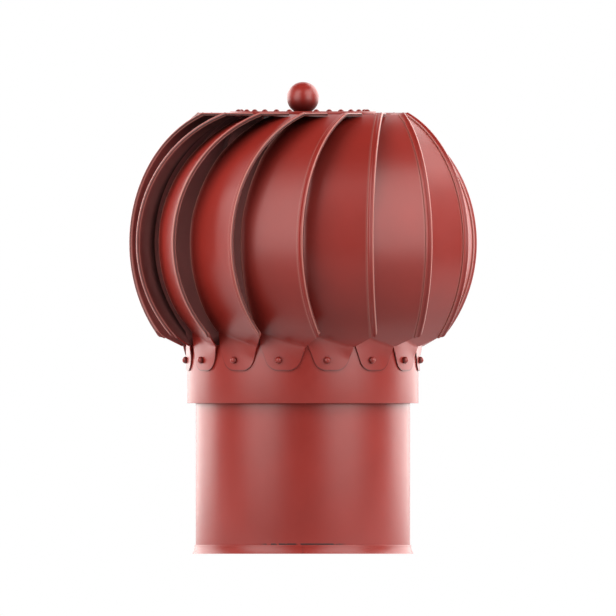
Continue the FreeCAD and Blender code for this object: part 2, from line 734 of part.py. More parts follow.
def ball_bearing(name, seat):
    """Deep-groove bearing: two races, a ring of balls and the cage that spaces them."""
    low_groove = "place.race_middle - place.groove_half"
    high_groove = "place.race_middle + place.groove_half"
    turned(f"{name}_inner_race", [
        ("place.race_bore", "0"),
        ("place.inner_lip", "0"),
        ("place.inner_lip", low_groove, "place.groove_radius", -1),
        ("place.inner_lip", high_groove),
        ("place.inner_lip", "dim.bearing_width"),
        ("place.race_bore", "dim.bearing_width"),
    ], seat)
    turned(f"{name}_outer_race", [
        ("place.outer_lip", "0"),
        ("dim.bearing_radius", "0"),
        ("dim.bearing_radius", "dim.bearing_width"),
        ("place.outer_lip", "dim.bearing_width"),
        ("place.outer_lip", high_groove, "place.groove_radius", -1),
        ("place.outer_lip", low_groove),
    ], seat)
    balls = new_body(f"{name}_balls", seat)
    ball = balls.newObject("PartDesign::AdditiveSphere", "ball")
    ball.AttachmentSupport = [(origin_part(balls, "XY_Plane"), "")]
    ball.MapMode = "FlatFace"
    ball.setExpression("Radius", "dim.ball_radius")
    ball.setExpression("AttachmentOffset.Base.x", "place.ball_circle")
    ball.setExpression("AttachmentOffset.Base.z", "place.race_middle")
    around(balls, [ball], "dim.ball_count")
    cage = turned(f"{name}_cage", [
        ("place.ball_circle - dim.cage_sheet / 2", "place.race_middle - dim.cage_height / 2"),
        ("place.ball_circle + dim.cage_sheet / 2", "place.race_middle - dim.cage_height / 2"),
        ("place.ball_circle + dim.cage_sheet / 2", "place.race_middle + dim.cage_height / 2"),
        ("place.ball_circle - dim.cage_sheet / 2", "place.race_middle + dim.cage_height / 2"),
    ], seat)
    pocket = new_sketch(cage, "ball_pocket", "YZ_Plane")
    circle(pocket, "0", "place.race_middle", "dim.ball_radius + dim.run_gap")
    around(cage, [cut(cage, pocket, reverse=True)], "dim.ball_count")


def bearing_spacers():
    """Tubes that keep the two bearings apart, and the snap ring over the upper one."""
    tube("inner_spacer", "place.race_bore", "place.race_bore + dim.spacer_sheet",
         "place.lower_top", "place.upper_bearing")
    tube("outer_spacer", "dim.bearing_radius - dim.spacer_sheet", "dim.bearing_radius",
         "place.lower_top", "place.upper_bearing")
    body = turned("snap_ring", [
        ("place.outer_lip", "place.snap_under"),
        ("place.snap_groove - dim.run_gap", "place.snap_under"),
        ("place.snap_groove - dim.run_gap", "place.snap_top"),
        ("place.outer_lip", "place.snap_top"),
    ])
    opening = new_sketch(body, "opening", "XZ_Plane")
    outline(opening, [
        ("-dim.snap_opening / 2", "place.snap_under - dim.cut_room"),
        ("dim.snap_opening / 2", "place.snap_under - dim.cut_room"),
        ("dim.snap_opening / 2", "place.snap_top + dim.cut_room"),
        ("-dim.snap_opening / 2", "place.snap_top + dim.cut_room"),
    ])
    cut(body, opening, "opening_cut")


base_pipe()
foot_ring()
collar_ring()
blades()
collar_rivets()
crown_disc()
crown_rivets()
ball_knob()
shaft()
shaft_fastenings()
spider()
bearing_housing()
housing_screws()
ball_bearing("lower", "place.lower_bearing")
ball_bearing("upper", "place.upper_bearing")
bearing_spacers()
doc.recompute()

for item in doc.Objects:
    if "Invalid" in item.State or "Error" in item.State:
        raise RuntimeError(f"{item.Label} did not build: {item.State}")

pieces = [item for item in doc.Objects if item.TypeId == "PartDesign::Body"]
for piece in pieces:
    if piece.Shape.isNull() or not piece.Shape.isValid():
        raise RuntimeError(f"{piece.Label} has no valid shape")

os.makedirs("parts", exist_ok=True)
for piece in pieces:
    piece.Shape.exportStep(f"parts/{piece.Label}.step")
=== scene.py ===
# %% [markdown]
# Rotating chimney cowl. The imported construction model is the frame: it holds every piece at its true
# place, in metres, with +Z up along the flue axis and the front of the cowl facing -Y.
# The pieces that show are drawn again here as smooth surfaces, each on the place of the solid it stands for.
# The solids could be painted instead, but clean grids shade more smoothly, and their points can carry painted
# shade and painted highlights.

# %% load the frame
import math

import bmesh
import bpy
import numpy as np
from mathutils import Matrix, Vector


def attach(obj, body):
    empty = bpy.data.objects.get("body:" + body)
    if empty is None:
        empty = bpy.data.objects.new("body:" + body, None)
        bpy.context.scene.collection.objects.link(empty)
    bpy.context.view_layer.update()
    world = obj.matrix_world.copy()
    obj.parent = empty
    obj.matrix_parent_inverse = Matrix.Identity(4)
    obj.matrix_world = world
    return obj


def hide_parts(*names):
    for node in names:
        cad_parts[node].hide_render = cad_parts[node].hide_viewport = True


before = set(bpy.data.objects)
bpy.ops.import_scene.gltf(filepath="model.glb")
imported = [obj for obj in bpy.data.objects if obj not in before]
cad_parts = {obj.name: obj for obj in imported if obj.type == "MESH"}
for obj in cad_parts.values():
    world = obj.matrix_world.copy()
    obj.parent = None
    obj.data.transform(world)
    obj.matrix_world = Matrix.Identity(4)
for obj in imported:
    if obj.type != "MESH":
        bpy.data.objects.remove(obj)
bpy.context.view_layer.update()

# %% [markdown]
# Sizes are in millimetres and the same as in the construction model, so a surface drawn from them lies on its
# solid. They could be measured there, but a named size also says what it is for.

# %% sizes in millimetres
MM = 0.001
FIT_GAP = 0.05
PIPE_RADIUS = 75.0
PIPE_SHEET = 0.8
PIPE_HEIGHT = 140.0
COLLAR_RADIUS = 80.9
COLLAR_SHEET = 0.8
COLLAR_TOP = 146.0
COLLAR_FOOT = 105.4
BLADES = 15
BLADE_ANGLE = 30.0
BLADE_WIDTH = 51.0
HALF_PITCH = 180.0 / BLADES
HEAD_RADIUS = 122.2
SHEET = 0.8
print(f"{BLADES} blades, one every {2 * HALF_PITCH:.0f} degrees")

# %% [markdown]
# Every surface is a grid of points worked out by numpy. A grid becomes a mesh in one go: its points are
# numbered row by row, and each cell of four neighbours is a face. The pieces could be modelled by hand, but a
# formula can be read, checked and changed in one place.

# %% grids to meshes
MERGE_WITHIN = 1e-7
SLIVER = 1e-8
SHARP_FROM = 50.0


def grid_faces(rows, columns, wrap_rows=False, wrap_columns=False):
    """Cells of a rows x columns grid: corner (i, j) joins (i, j+1), (i+1, j+1) and (i+1, j)."""
    cells_down, cells_across = np.arange(rows - (not wrap_rows)), np.arange(columns - (not wrap_columns))
    i, j = np.meshgrid(cells_down, cells_across, indexing="ij")
    below, beside = (i + 1) % rows, (j + 1) % columns
    cells = [i * columns + j, i * columns + beside, below * columns + beside, below * columns + j]
    return np.stack(cells, axis=-1).reshape(-1, 4)


def make_piece(name, parts):
    """One mesh from several parts, each its points in millimetres and then its arrays of faces, with doubles
    merged and faces turned outwards."""
    points = np.concatenate([part[0].reshape(-1, 3) for part in parts]) * MM
    starts = np.cumsum([0] + [part[0].size // 3 for part in parts[:-1]])
    faces = []
    for part, start in zip(parts, starts):
        for cells in part[1:]:
            faces += (cells + start).tolist()
    mesh = bpy.data.meshes.new(name)
    mesh.from_pydata(points.tolist(), [], faces)
    work = bmesh.new()
    work.from_mesh(mesh)
    bmesh.ops.remove_doubles(work, verts=work.verts, dist=MERGE_WITHIN)
    bmesh.ops.dissolve_degenerate(work, edges=work.edges, dist=SLIVER)
    bmesh.ops.recalc_face_normals(work, faces=work.faces)
    work.to_mesh(mesh)
    work.free()
    mesh.shade_smooth()
    mesh.set_sharp_from_angle(angle=math.radians(SHARP_FROM))
    piece = bpy.data.objects.new(name, mesh)
    bpy.context.scene.collection.objects.link(piece)
    print(f"{name}: {len(mesh.polygons)} faces")
    return piece


print("a grid of 3 x 4 points has", len(grid_faces(3, 4)), "cells")

# %% [markdown]
# Rolled and turned pieces begin as an outline of radius and height. No edge of sheet or bar is quite sharp, so
# each corner is taken off by a small curve. A Bevel modifier could do that too, but the outline already knows
# its corners.

# %% outlines with rounded corners
SIDE_SHARE = 0.33


def rounded(corners, reach, steps=4):
    """Closed outline with its corners taken off: (1-t)^2 A + 2t(1-t) P + t^2 B about each corner P, where A and B
    lie on its two sides at the reach, or at a third of a shorter side."""
    corner = np.asarray(corners, float)
    back = np.roll(corner, 1, axis=0) - corner
    ahead = np.roll(corner, -1, axis=0) - corner
    cut_back = np.minimum(reach / np.linalg.norm(back, axis=1, keepdims=True), SIDE_SHARE)
    cut_ahead = np.minimum(reach / np.linalg.norm(ahead, axis=1, keepdims=True), SIDE_SHARE)
    t = np.linspace(0, 1, steps)[None, :, None]
    start, end = (corner + back * cut_back)[:, None], (corner + ahead * cut_ahead)[:, None]
    curve = (1 - t) ** 2 * start + 2 * t * (1 - t) * corner[:, None] + t ** 2 * end
    return curve.reshape(-1, 2)


def swept(outline, turn):
    """Outline of (radius, height) at each angle a of a turn about Z: x = r cos a, y = r sin a, z = h."""
    radius, height = outline[:, :1], outline[:, 1:]
    return np.stack([radius * np.cos(turn), radius * np.sin(turn), height + 0 * turn], axis=-1)


def turned(outline, steps):
    """Outline carried all the way round Z."""
    points = swept(outline, np.linspace(0, 2 * np.pi, steps, endpoint=False))
    return points, grid_faces(len(outline), steps, wrap_rows=True, wrap_columns=True)


square = [(0, 0), (1, 0), (1, 1), (0, 1)]
print("a rounded square has", len(rounded(square, 0.1)), "points")

# %% [markdown]
# A finish is a small tree of nodes. These helpers lay the ones that every finish here needs. Pictures could be
# wrapped round the pieces, but noise on Object coordinates has no seams and stays still when the head turns.

# %% helpers for finishes
def new_finish(name):
    """Material with its node tree and its shader."""
    finish = bpy.data.materials.new(name)
    finish.use_nodes = True
    return finish, finish.node_tree, finish.node_tree.nodes["Principled BSDF"]


def on_object(tree):
    """Object coordinates, which go with the piece."""
    return tree.nodes.new("ShaderNodeTexCoord").outputs["Object"]


def noise(tree, where, scale, detail=3.0, roughness=0.5):
    """Factor of a noise on the given coordinates."""
    node = tree.nodes.new("ShaderNodeTexNoise")
    node.inputs["Scale"].default_value = scale
    node.inputs["Detail"].default_value = detail
    node.inputs["Roughness"].default_value = roughness
    tree.links.new(where, node.inputs["Vector"])
    return node.outputs["Factor" if "Factor" in node.outputs else "Fac"]


def ramp(tree, source, deep, light):
    """Colour that goes from deep to light over the middle of a factor."""
    node = tree.nodes.new("ShaderNodeValToRGB")
    for element, place, colour in zip(node.color_ramp.elements, (0.3, 0.7), (deep, light)):
        element.position = place
        element.color = (*colour, 1.0)
    tree.links.new(source, node.inputs["Fac"])
    return node.outputs["Color"]


def spread(tree, source, low, high, start=0.0, end=1.0):
    """Factor carried from start..end to low..high."""
    node = tree.nodes.new("ShaderNodeMapRange")
    node.inputs["From Min"].default_value, node.inputs["From Max"].default_value = start, end
    node.inputs["To Min"].default_value, node.inputs["To Max"].default_value = low, high
    tree.links.new(source, node.inputs["Value"])
    return node.outputs["Result"]


def bump(tree, shader, height, strength, distance):
    """Height turned into a bump on the shader."""
    node = tree.nodes.new("ShaderNodeBump")
    node.inputs["Strength"].default_value = strength
    node.inputs["Distance"].default_value = distance
    tree.links.new(height, node.inputs["Height"])
    tree.links.new(node.outputs["Normal"], shader.inputs["Normal"])


print("nodes for finishes ready")

# %% [markdown]
# The paint is a satin oxide-red powder coat. Powder melts into a film with a fine orange peel, so the finish has
# a faint bump, a little change of tone and a soft gloss. The hollow side of a blade has a duller, matt coat whose
# colour is greyed by a painted reflection. Painted shade darkens each blade where the next one shades it, and
# painted highlights make its folded edges paler. Masks could be painted by hand, but here the points of a blade
# carry two numbers, one for painted shade and one for painted highlight, which follow its folds exactly.

# %% red powder coat
DEEP_RED, LIGHT_RED = (0.300, 0.0205, 0.0135), (0.345, 0.0250, 0.0170)
# painted reflection: the inner coat's colour is greyed, as by a pale surround mirrored in it
DEEP_REFLECTION_GREY, LIGHT_REFLECTION_GREY = (0.390, 0.1500, 0.1440), (0.440, 0.1700, 0.1630)
# near black for painted shade, and for the dark line over the foot ring
SHADE_AND_JOINT_DARK = (0.020, 0.0010, 0.0008)
# pale colour of the painted highlights on folded edges
PAINTED_HIGHLIGHT = (0.600, 0.2600, 0.2200)
SATIN, MATT = (0.30, 0.38), (0.42, 0.55)
TONE_SCALE, GLOSS_SCALE, PEEL_SCALE = 28.0, 160.0, 900.0
PEEL_STRENGTH, PEEL_DEPTH = 0.06, 0.0003
PAINT_IOR = 1.62


def carried(tree, name):
    """A number that the mesh carries at each point."""
    node = tree.nodes.new("ShaderNodeAttribute")
    node.attribute_name = name
    return node.outputs["Fac"]


def blended(tree, factor, first, second):
    """First colour where the factor is 0, second where it is 1; a plain colour is written on its socket."""
    node = tree.nodes.new("ShaderNodeMix")
    node.data_type = "RGBA"
    tree.links.new(factor, node.inputs["Factor"])
    for socket, colour in ((node.inputs[6], first), (node.inputs[7], second)):
        if isinstance(colour, tuple):
            socket.default_value = (*colour, 1.0)
        else:
            tree.links.new(colour, socket)
    return node.outputs[2]


def powder_coat(name, deep, light, sheen, painted_light=False):
    """Satin paint: broad noise for tone, finer for gloss, fine orange peel; if asked, painted shade and
    highlights.
    """
    finish, tree, shader = new_finish(name)
    where = on_object(tree)
    colour = ramp(tree, noise(tree, where, TONE_SCALE, detail=4.0), deep, light)
    if painted_light:
        # painted shade: the colour goes towards near black where the points keep less of it
        colour = blended(tree, carried(tree, "unshaded"), SHADE_AND_JOINT_DARK, colour)
        # painted highlight: the colour goes pale where the points say so
        colour = blended(tree, carried(tree, "highlight"), colour, PAINTED_HIGHLIGHT)
    tree.links.new(colour, shader.inputs["Base Color"])
    gloss = noise(tree, where, GLOSS_SCALE)
    tree.links.new(spread(tree, gloss, *sheen), shader.inputs["Roughness"])
    shader.inputs["IOR"].default_value = PAINT_IOR
    bump(tree, shader, noise(tree, where, PEEL_SCALE, detail=2.0), PEEL_STRENGTH, PEEL_DEPTH)
    return finish


RED = powder_coat("red_powder_coat", DEEP_RED, LIGHT_RED, SATIN)
BLADE_RED = powder_coat("blade_powder_coat", DEEP_RED, LIGHT_RED, SATIN, painted_light=True)
# the inner coat is matt, and its greyer colour is a painted reflection
INNER_REFLECTION_COAT = powder_coat("matt_inner_coat_painted_reflection", DEEP_REFLECTION_GREY, LIGHT_REFLECTION_GREY, MATT, painted_light=True)
print("finishes:", RED.name, BLADE_RED.name, INNER_REFLECTION_COAT.name)

# %% [markdown]
# The hidden works are bare metal: zinc plate on the spider and fastenings, turned steel on the shaft,
# ground steel in the bearings, brass cages and a turned aluminium housing. A plain grey would pass at a glance,
# but tool marks tell turned from plated metal, so a grain is stretched along the way each was worked.

# %% bare metals
POLISH_CHANGE = 0.07
GRAIN_STRENGTH, GRAIN_DEPTH = 0.05, 0.0002


def bare_metal(name, dark, light, rough, grain, stretch=1.0):
    """Metal whose tone and polish follow one grain, packed tighter along Z by the stretch."""
    finish, tree, shader = new_finish(name)
    mapping = tree.nodes.new("ShaderNodeMapping")
    mapping.inputs["Scale"].default_value = (1.0, 1.0, stretch)
    tree.links.new(on_object(tree), mapping.inputs["Vector"])
    mark = noise(tree, mapping.outputs["Vector"], grain, detail=4.0, roughness=0.6)
    tree.links.new(ramp(tree, mark, dark, light), shader.inputs["Base Color"])
    polish = spread(tree, mark, rough - POLISH_CHANGE, rough + POLISH_CHANGE)
    tree.links.new(polish, shader.inputs["Roughness"])
    shader.inputs["Metallic"].default_value = 1.0
    bump(tree, shader, mark, GRAIN_STRENGTH, GRAIN_DEPTH)
    return finish


ZINC = bare_metal("zinc_plate", (0.50, 0.51, 0.53), (0.66, 0.67, 0.68), 0.40, 220.0)
STEEL = bare_metal("turned_steel", (0.47, 0.48, 0.50), (0.60, 0.61, 0.63), 0.26, 90.0, 14.0)
GROUND = bare_metal("ground_steel", (0.58, 0.59, 0.61), (0.72, 0.73, 0.75), 0.16, 120.0, 18.0)
BRASS = bare_metal("cage_brass", (0.60, 0.42, 0.16), (0.76, 0.57, 0.26), 0.30, 180.0)
HOUSING = bare_metal("turned_aluminium", (0.54, 0.55, 0.56), (0.67, 0.68, 0.69), 0.34, 80.0, 16.0)
print("finishes:", ", ".join(metal.name for metal in (ZINC, STEEL, GROUND, BRASS, HOUSING)))

# %% [markdown]
# Over the foot ring a thin dark line is painted along the joint at the front of the pipe, broken up by noise.
# It could be cut into the sheet, but it is only a millimetre high and has no depth to see, so it is a line in
# the pipe's coat. Bands on Object coordinates, in metres, mark its height, its length and the front side.

# %% coat of the pipe with its joint line
JOINT_HEIGHT, JOINT_HALF_THICK = 0.0066, 0.0006
JOINT_HALF_LENGTH = 0.0245
FRONT_SIDE, FRONT_DEPTH = -0.075, 0.010
JOINT_GRAIN = 260.0
BREAK_FROM, BREAK_TO = 0.36, 0.46


def worked(tree, operation, *terms):
    """Math on one or two factors; a plain number is written on its socket."""
    node = tree.nodes.new("ShaderNodeMath")
    node.operation = operation
    for socket, term in zip(node.inputs, terms):
        if isinstance(term, float):
            socket.default_value = term
        else:
            tree.links.new(term, socket)
    return node.outputs[0]


def banded(tree, source, centre, half):
    """1 within half of the centre, falling to 0 over a quarter of that beyond it."""
    off = worked(tree, "ABSOLUTE", worked(tree, "SUBTRACT", source, centre))
    return spread(tree, off, 1.0, 0.0, half, 1.25 * half)


def joint_line(finish):
    """The coat is dark where the three bands and the noise all allow it: their product is the mark."""
    tree = finish.node_tree
    shader = tree.nodes["Principled BSDF"]
    coat = shader.inputs["Base Color"].links[0].from_socket
    where = on_object(tree)
    split = tree.nodes.new("ShaderNodeSeparateXYZ")
    tree.links.new(where, split.inputs["Vector"])
    mark = spread(tree, noise(tree, where, JOINT_GRAIN, detail=2.0), 0.0, 1.0, BREAK_FROM, BREAK_TO)
    bands = (("Z", JOINT_HEIGHT, JOINT_HALF_THICK), ("X", 0.0, JOINT_HALF_LENGTH), ("Y", FRONT_SIDE, FRONT_DEPTH))
    for axis, centre, half in bands:
        mark = worked(tree, "MULTIPLY", mark, banded(tree, split.outputs[axis], centre, half))
    tree.links.new(blended(tree, mark, coat, SHADE_AND_JOINT_DARK), shader.inputs["Base Color"])


PIPE_RED = powder_coat("pipe_powder_coat", DEEP_RED, LIGHT_RED, SATIN)
joint_line(PIPE_RED)
print("joint line over", 2000 * JOINT_HALF_LENGTH, "mm of the front")

# %% [markdown]
# The flue pipe is rolled sheet. Its outline is a thin upright rectangle with the sharp edges just broken,
# carried once round the axis. The collar that covers its top is made in the same way. A cylinder with a
# Solidify modifier would look alike, but this outline gives both walls and both rims in one grid.

# %% pipe and collar
EDGE_BREAK = 0.2


def place_piece(piece, finish, slot, body, *nodes):
    """The piece gets its finish, rides on its body and stands for its solids."""
    piece.data.materials.append(finish)
    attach(piece, body)
    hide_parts(*nodes)


def sheet_ring(bore, radius, foot, top):
    """Ring of sheet: a rectangle of radius and height with broken edges, turned about Z."""
    corners = [(bore, foot), (radius, foot), (radius, top), (bore, top)]
    return turned(rounded(corners, EDGE_BREAK), steps=256)


pipe = make_piece("flue_pipe", [sheet_ring(PIPE_RADIUS - PIPE_SHEET, PIPE_RADIUS, 0.0, PIPE_HEIGHT)])
place_piece(pipe, PIPE_RED, "red_paint", "base", "base_pipe")
collar_wall = sheet_ring(COLLAR_RADIUS - COLLAR_SHEET, COLLAR_RADIUS, COLLAR_FOOT, COLLAR_TOP)
collar = make_piece("turning_collar", [collar_wall])
place_piece(collar, RED, "red_paint", "rotor", "collar_ring")

# %% [markdown]
# The foot ring is strip, flared at the bottom, bent round the pipe and butted at the front. It could be a full
# turn with the seam drawn on, but a section that goes almost round and is closed at both ends has a real seam.

# %% foot ring
RING_BORE = 75.05
RING_TOP = 75.75
RING_FLARE = 1.7
RING_CURL = 2.2
RING_HEIGHT = 6.2
RING_SEAM = 0.3
RING_CREST = [(-0.08, -0.1), (-0.3, 0.0)]


def foot_ring():
    """Section (r, h) with the flare r = top + flare (1 - s)^curl at share s of the height, from seam to seam."""
    share = np.linspace(0.0, 0.94, 12)
    outer = np.stack([RING_TOP + RING_FLARE * (1 - share) ** RING_CURL, share * RING_HEIGHT], axis=-1)
    crest = np.array(RING_CREST) + (RING_TOP, RING_HEIGHT)
    bore = np.array([[RING_BORE, RING_HEIGHT - 0.05], [RING_BORE, 0.0]])
    section = np.concatenate([outer, crest, bore])
    half = RING_SEAM / 2 / RING_TOP
    turn = np.linspace(-np.pi / 2 + half, 1.5 * np.pi - half, 257)
    faces = grid_faces(len(section), len(turn), wrap_rows=True)
    ends = np.arange(len(section))[None] * len(turn)
    return swept(section, turn), faces, ends, ends + len(turn) - 1


ring = make_piece("foot_strip", [foot_ring()])
place_piece(ring, RED, "red_paint", "base", "foot_ring")

# %% [markdown]
# A blade is one strip of sheet: rolled to the round of the head about a level axis, its outer edge folded
# back on itself as a flat hem, its foot bent down into a tab that lies on the collar, its top bent level.
# In the blade's own frame +X is the outward normal at mid-height and +Y leads to the hemmed edge. All fifteen
# could be drawn in place, but they are alike, so one is worked out in that frame.

# %% sizes of a blade
EDGE_Y = HEAD_RADIUS * math.sin(math.radians(BLADE_ANGLE))
INNER_Y = EDGE_Y - BLADE_WIDTH
FACE_X = HEAD_RADIUS * math.cos(math.radians(BLADE_ANGLE)) - SHEET
ROLL_AXIS = 9.03
ROLL = FACE_X - ROLL_AXIS
ROLL_TURN = math.radians(69.36)
HEM = 5.0
TOP_BEND = 2.0
TAPER_START = 17.0
TAPER_DEPTH = 4.9
TAPER_KNEE = 62.4
CORNER_DEPTH = 13.0
print(f"strip {BLADE_WIDTH:.0f} mm wide, rolled to a radius of {ROLL:.2f} mm")

# %% sizes of its tab
TAB_TURN = math.radians(BLADE_ANGLE - HALF_PITCH)
TAB_PLANE = COLLAR_RADIUS + FIT_GAP
TAB_FACE = TAB_PLANE + SHEET
TAB_GAP = 0.7
TAB_HALF = TAB_PLANE * math.tan(math.radians(HALF_PITCH)) - TAB_GAP
TAB_SHIFT = 3.1
TAB_FOOT = COLLAR_TOP - 18.0
TAB_FOOT_HALF = 10.0
TAB_CORNER = 9.5
TAB_BOW = 0.75
TAB_BOW_RISE = 9.0
FOLD_Z = COLLAR_TOP - 1.13
FOLD_X = TAB_FACE * math.cos(TAB_TURN) - (TAB_SHIFT + TAB_HALF) * math.sin(TAB_TURN)
FOLD_Y = TAB_FACE * math.sin(TAB_TURN) + (TAB_SHIFT + TAB_HALF) * math.cos(TAB_TURN)
MIDDLE = FOLD_Z + math.sqrt(ROLL ** 2 - (FOLD_X - ROLL_AXIS) ** 2)
print(f"tab {2 * TAB_HALF:.1f} mm wide, roll centred at {MIDDLE:.1f} mm")

# %% sizes of its top
BEND_Z = MIDDLE + (ROLL - TOP_BEND) * math.sin(ROLL_TURN)
BEND_X = ROLL_AXIS + (ROLL - TOP_BEND) * math.cos(ROLL_TURN)
HEAD_TOP = BEND_Z + TOP_BEND
FLAP_REACH = 8.5
FLAP_ROUND = 5.5
FLAP_X = BEND_X - FLAP_REACH
FLAP_Y = FLAP_X * math.tan(math.radians(BLADE_ANGLE + HALF_PITCH))
FLANGE_GAP = 1.5
PITCH = math.radians(2 * HALF_PITCH)
FLANGE_TIP = (BEND_X + TOP_BEND + FLANGE_GAP - EDGE_Y * math.sin(PITCH)) / math.cos(PITCH)
print(f"head from {FOLD_Z:.1f} to {HEAD_TOP:.1f} mm")

# %% [markdown]
# The strip's foot is a fold, where the tab begins, and then a slanting cut edge that rises to the hem and ends in
# a round corner. A Boolean cut would leave ragged faces, so the lowest row of the grid follows that line.

# %% where the strip begins at its foot
FOLD_SOFT = 1.6
FOLD_FADE = 5.0
EDGE_RISE = 8.8
EDGE_ROUND = 5.0


def fold_softness(along):
    """Half-length of the soft fold, which fades to nothing towards both ends of the tab."""
    inside = np.minimum(along + TAB_HALF - TAB_SHIFT, TAB_HALF + TAB_SHIFT - along)
    return FOLD_SOFT * np.clip(inside / FOLD_FADE, 0.0, 1.0) ** 0.7


def lower_edge(y):
    """Height of the slanting lower edge: a straight rise from the fold's end, then a round of EDGE_ROUND."""
    slope = math.atan(EDGE_RISE / (EDGE_Y - FOLD_Y))
    reach = EDGE_ROUND * math.tan((math.pi / 2 - slope) / 2)
    straight = FOLD_Z + (y - FOLD_Y) * math.tan(slope)
    drop = np.sqrt(np.maximum(EDGE_ROUND ** 2 - (y - EDGE_Y + EDGE_ROUND) ** 2, 0.0))
    corner = FOLD_Z + EDGE_RISE + reach - drop
    return np.where(y > EDGE_Y - reach * math.cos(slope), corner, straight)


def foot_angle(y):
    """Roll angle at which the strip begins: on the tab's plane x cos t + y sin t = TAB_FACE up to the fold's
    end, where it is lifted by the soft fold, and on the slanting edge beyond it."""
    along = (y - TAB_FACE * math.sin(TAB_TURN)) / math.cos(TAB_TURN)
    plane_x = (TAB_FACE - y * math.sin(TAB_TURN)) / math.cos(TAB_TURN)
    on_plane = -np.arccos(np.clip((plane_x - ROLL_AXIS) / ROLL, -1, 1)) + fold_softness(along) / ROLL
    on_edge = np.arcsin(np.clip((lower_edge(y) - MIDDLE) / ROLL, -1, 1))
    return np.where(y <= FOLD_Y, on_plane, on_edge)


foot_marks = np.degrees(foot_angle(np.array([INNER_Y, FOLD_Y, EDGE_Y])))
print(f"foot of the strip at {foot_marks.round(1)} degrees")

# %% [markdown]
# Across its width the strip is flat sheet with a thin bead along the inner edge and a hem along the outer one.
# A hem is sheet folded back: its fold stays thicker and rounder than two sheets, and the leaf ends in a small
# step. A Solidify modifier knows no hem, so the whole section is drawn as one closed line.

# %% the section of the strip
NOSE = 1.45
NOSE_RISE = 0.2
NOSE_RUN = 1.1
HEM_LIP = 0.7
BEAD = 1.0
BEAD_RUN = 2.5 * BEAD


def bell(off, wide):
    """exp(-(off / wide)^2), which is 1 on the line and falls away on both sides."""
    return np.exp(-(off / wide) ** 2)


def hem_height(off):
    """Height of the hem at a distance off the outer edge: a thick round fold that runs out flat."""
    return SHEET + (NOSE + NOSE_RISE - SHEET) * bell(off - NOSE, NOSE_RUN)


def strip_section():
    """Closed section of the strip as four arrays: share of the way from inner to outer edge, shift along that
    way in millimetres, height over the sheet's outer face, and that height without the inner bead."""
    middle = -SHEET / 2
    turn = np.linspace(np.pi, np.pi / 4, 9)
    bead_in, bead_up = BEAD + BEAD * np.cos(turn), middle + BEAD * np.sin(turn)
    face = np.linspace(0.0, 1.0, 28)[1:]
    step = np.linspace(0, np.pi / 2, 7)[1:]
    hem = np.linspace(HEM - HEM_LIP, NOSE, 16)
    nose = np.linspace(np.pi / 2, -np.pi / 2, 16)[1:]
    way = BEAD_RUN * (1 - face)
    at_edge = np.ones(len(step) + len(hem) + len(nose))
    share = np.concatenate([0 * turn, face, at_edge, face[::-1][1:], 0 * turn])
    shift = np.concatenate([
        bead_in, way - HEM * face, HEM_LIP - HEM_LIP * np.sin(step[::-1]) - HEM, -hem,
        NOSE * np.cos(nose) - NOSE, (way - NOSE * face)[::-1][1:], bead_in[::-1]])
    up = np.concatenate([
        bead_up, 0 * face, hem_height(HEM - HEM_LIP) * np.sin(step), hem_height(hem),
        NOSE * np.sin(nose) + NOSE_RISE, 0 * face[1:] - SHEET, 2 * middle - bead_up[::-1]])
    flat = up.copy()
    flat[:len(turn)] = np.linspace(middle, 0, len(turn))
    flat[-len(turn):] = np.linspace(-SHEET, middle, len(turn))
    return share, shift, up, flat


print("section of", len(strip_section()[0]), "points")

# %% [markdown]
# The section is carried up the roll, round the top bend and level under the crown. A curve with a bevel object
# could carry it, but the strip also narrows towards the top and begins on a slanting line, so each row is
# worked out on its own.

# %% the hemmed strip
BEAD_FADE = 0.1
PRESSED = 0.73
FLANGE_STEP = 1.5


def ease(share):
    """Smooth step 3t^2 - 2t^3 from 0 to 1."""
    t = np.clip(share, 0, 1)
    return t * t * (3 - 2 * t)


def inner_edge(height):
    """Y of the strip's inner edge: upright, then narrowing slowly up to the knee and faster up to the top."""
    heights = [TAPER_START, TAPER_KNEE, HEAD_TOP - MIDDLE]
    return INNER_Y + np.interp(height - MIDDLE, heights, [0.0, TAPER_DEPTH, CORNER_DEPTH])


def flange_reach(y):
    """Length of the level flange, whose end is parallel to the next blade; it stops where the tongue begins."""
    root = FLAP_Y + FLAP_ROUND
    reach = BEND_X - np.interp(y, [root, EDGE_Y], [FLAP_X, FLANGE_TIP])
    return reach * np.clip((y - root) / FLANGE_STEP + 1, 0, 1)


def closed_end(columns, row):
    """Faces that close a section at its end: point i joins the point as far from the section's other end."""
    i = np.arange(columns // 2 - 1)
    return np.stack([i, i + 1, columns - 2 - i, columns - 1 - i], axis=-1) + row * columns


def rolled_rows(rows):
    """Section carried up the roll: x = axis + (R + up) cos t, z = middle + (R + up) sin t. The foot depends on y
    and y on the height, so both are worked out a few times over. The bead fades in and out at the ends."""
    share, shift, beaded, flat = strip_section()
    climb = np.linspace(0, 1, rows)[:, None]
    y = INNER_Y + share * (EDGE_Y - INNER_Y) + shift + 0 * climb
    for _ in range(4):
        start = foot_angle(y)
        angle = start + (ROLL_TURN - start) * climb
        inner = inner_edge(MIDDLE + ROLL * np.sin(angle))
        y = inner + share * (EDGE_Y - inner) + shift
    radius = ROLL + flat + (beaded - flat) * ease(np.minimum(climb, 1 - climb) / BEAD_FADE)
    return np.stack([ROLL_AXIS + radius * np.cos(angle), y, MIDDLE + radius * np.sin(angle)], axis=-1)


def bent_rows(rows):
    """Section carried round the top bend, where the hem is pressed flatter on the way."""
    share, shift, _, flat = strip_section()
    turn = np.linspace(ROLL_TURN, np.pi / 2, rows)[1:, None]
    inner = inner_edge(BEND_Z + TOP_BEND * np.sin(turn))
    y = inner + share * (EDGE_Y - inner) + shift
    level_up = np.where(flat > 0, flat * PRESSED, np.maximum(flat, -SHEET))
    radius = TOP_BEND + flat + (level_up - flat) * np.linspace(0, 1, rows)[1:, None]
    return np.stack([BEND_X + radius * np.cos(turn), y, BEND_Z + radius * np.sin(turn)], axis=-1)


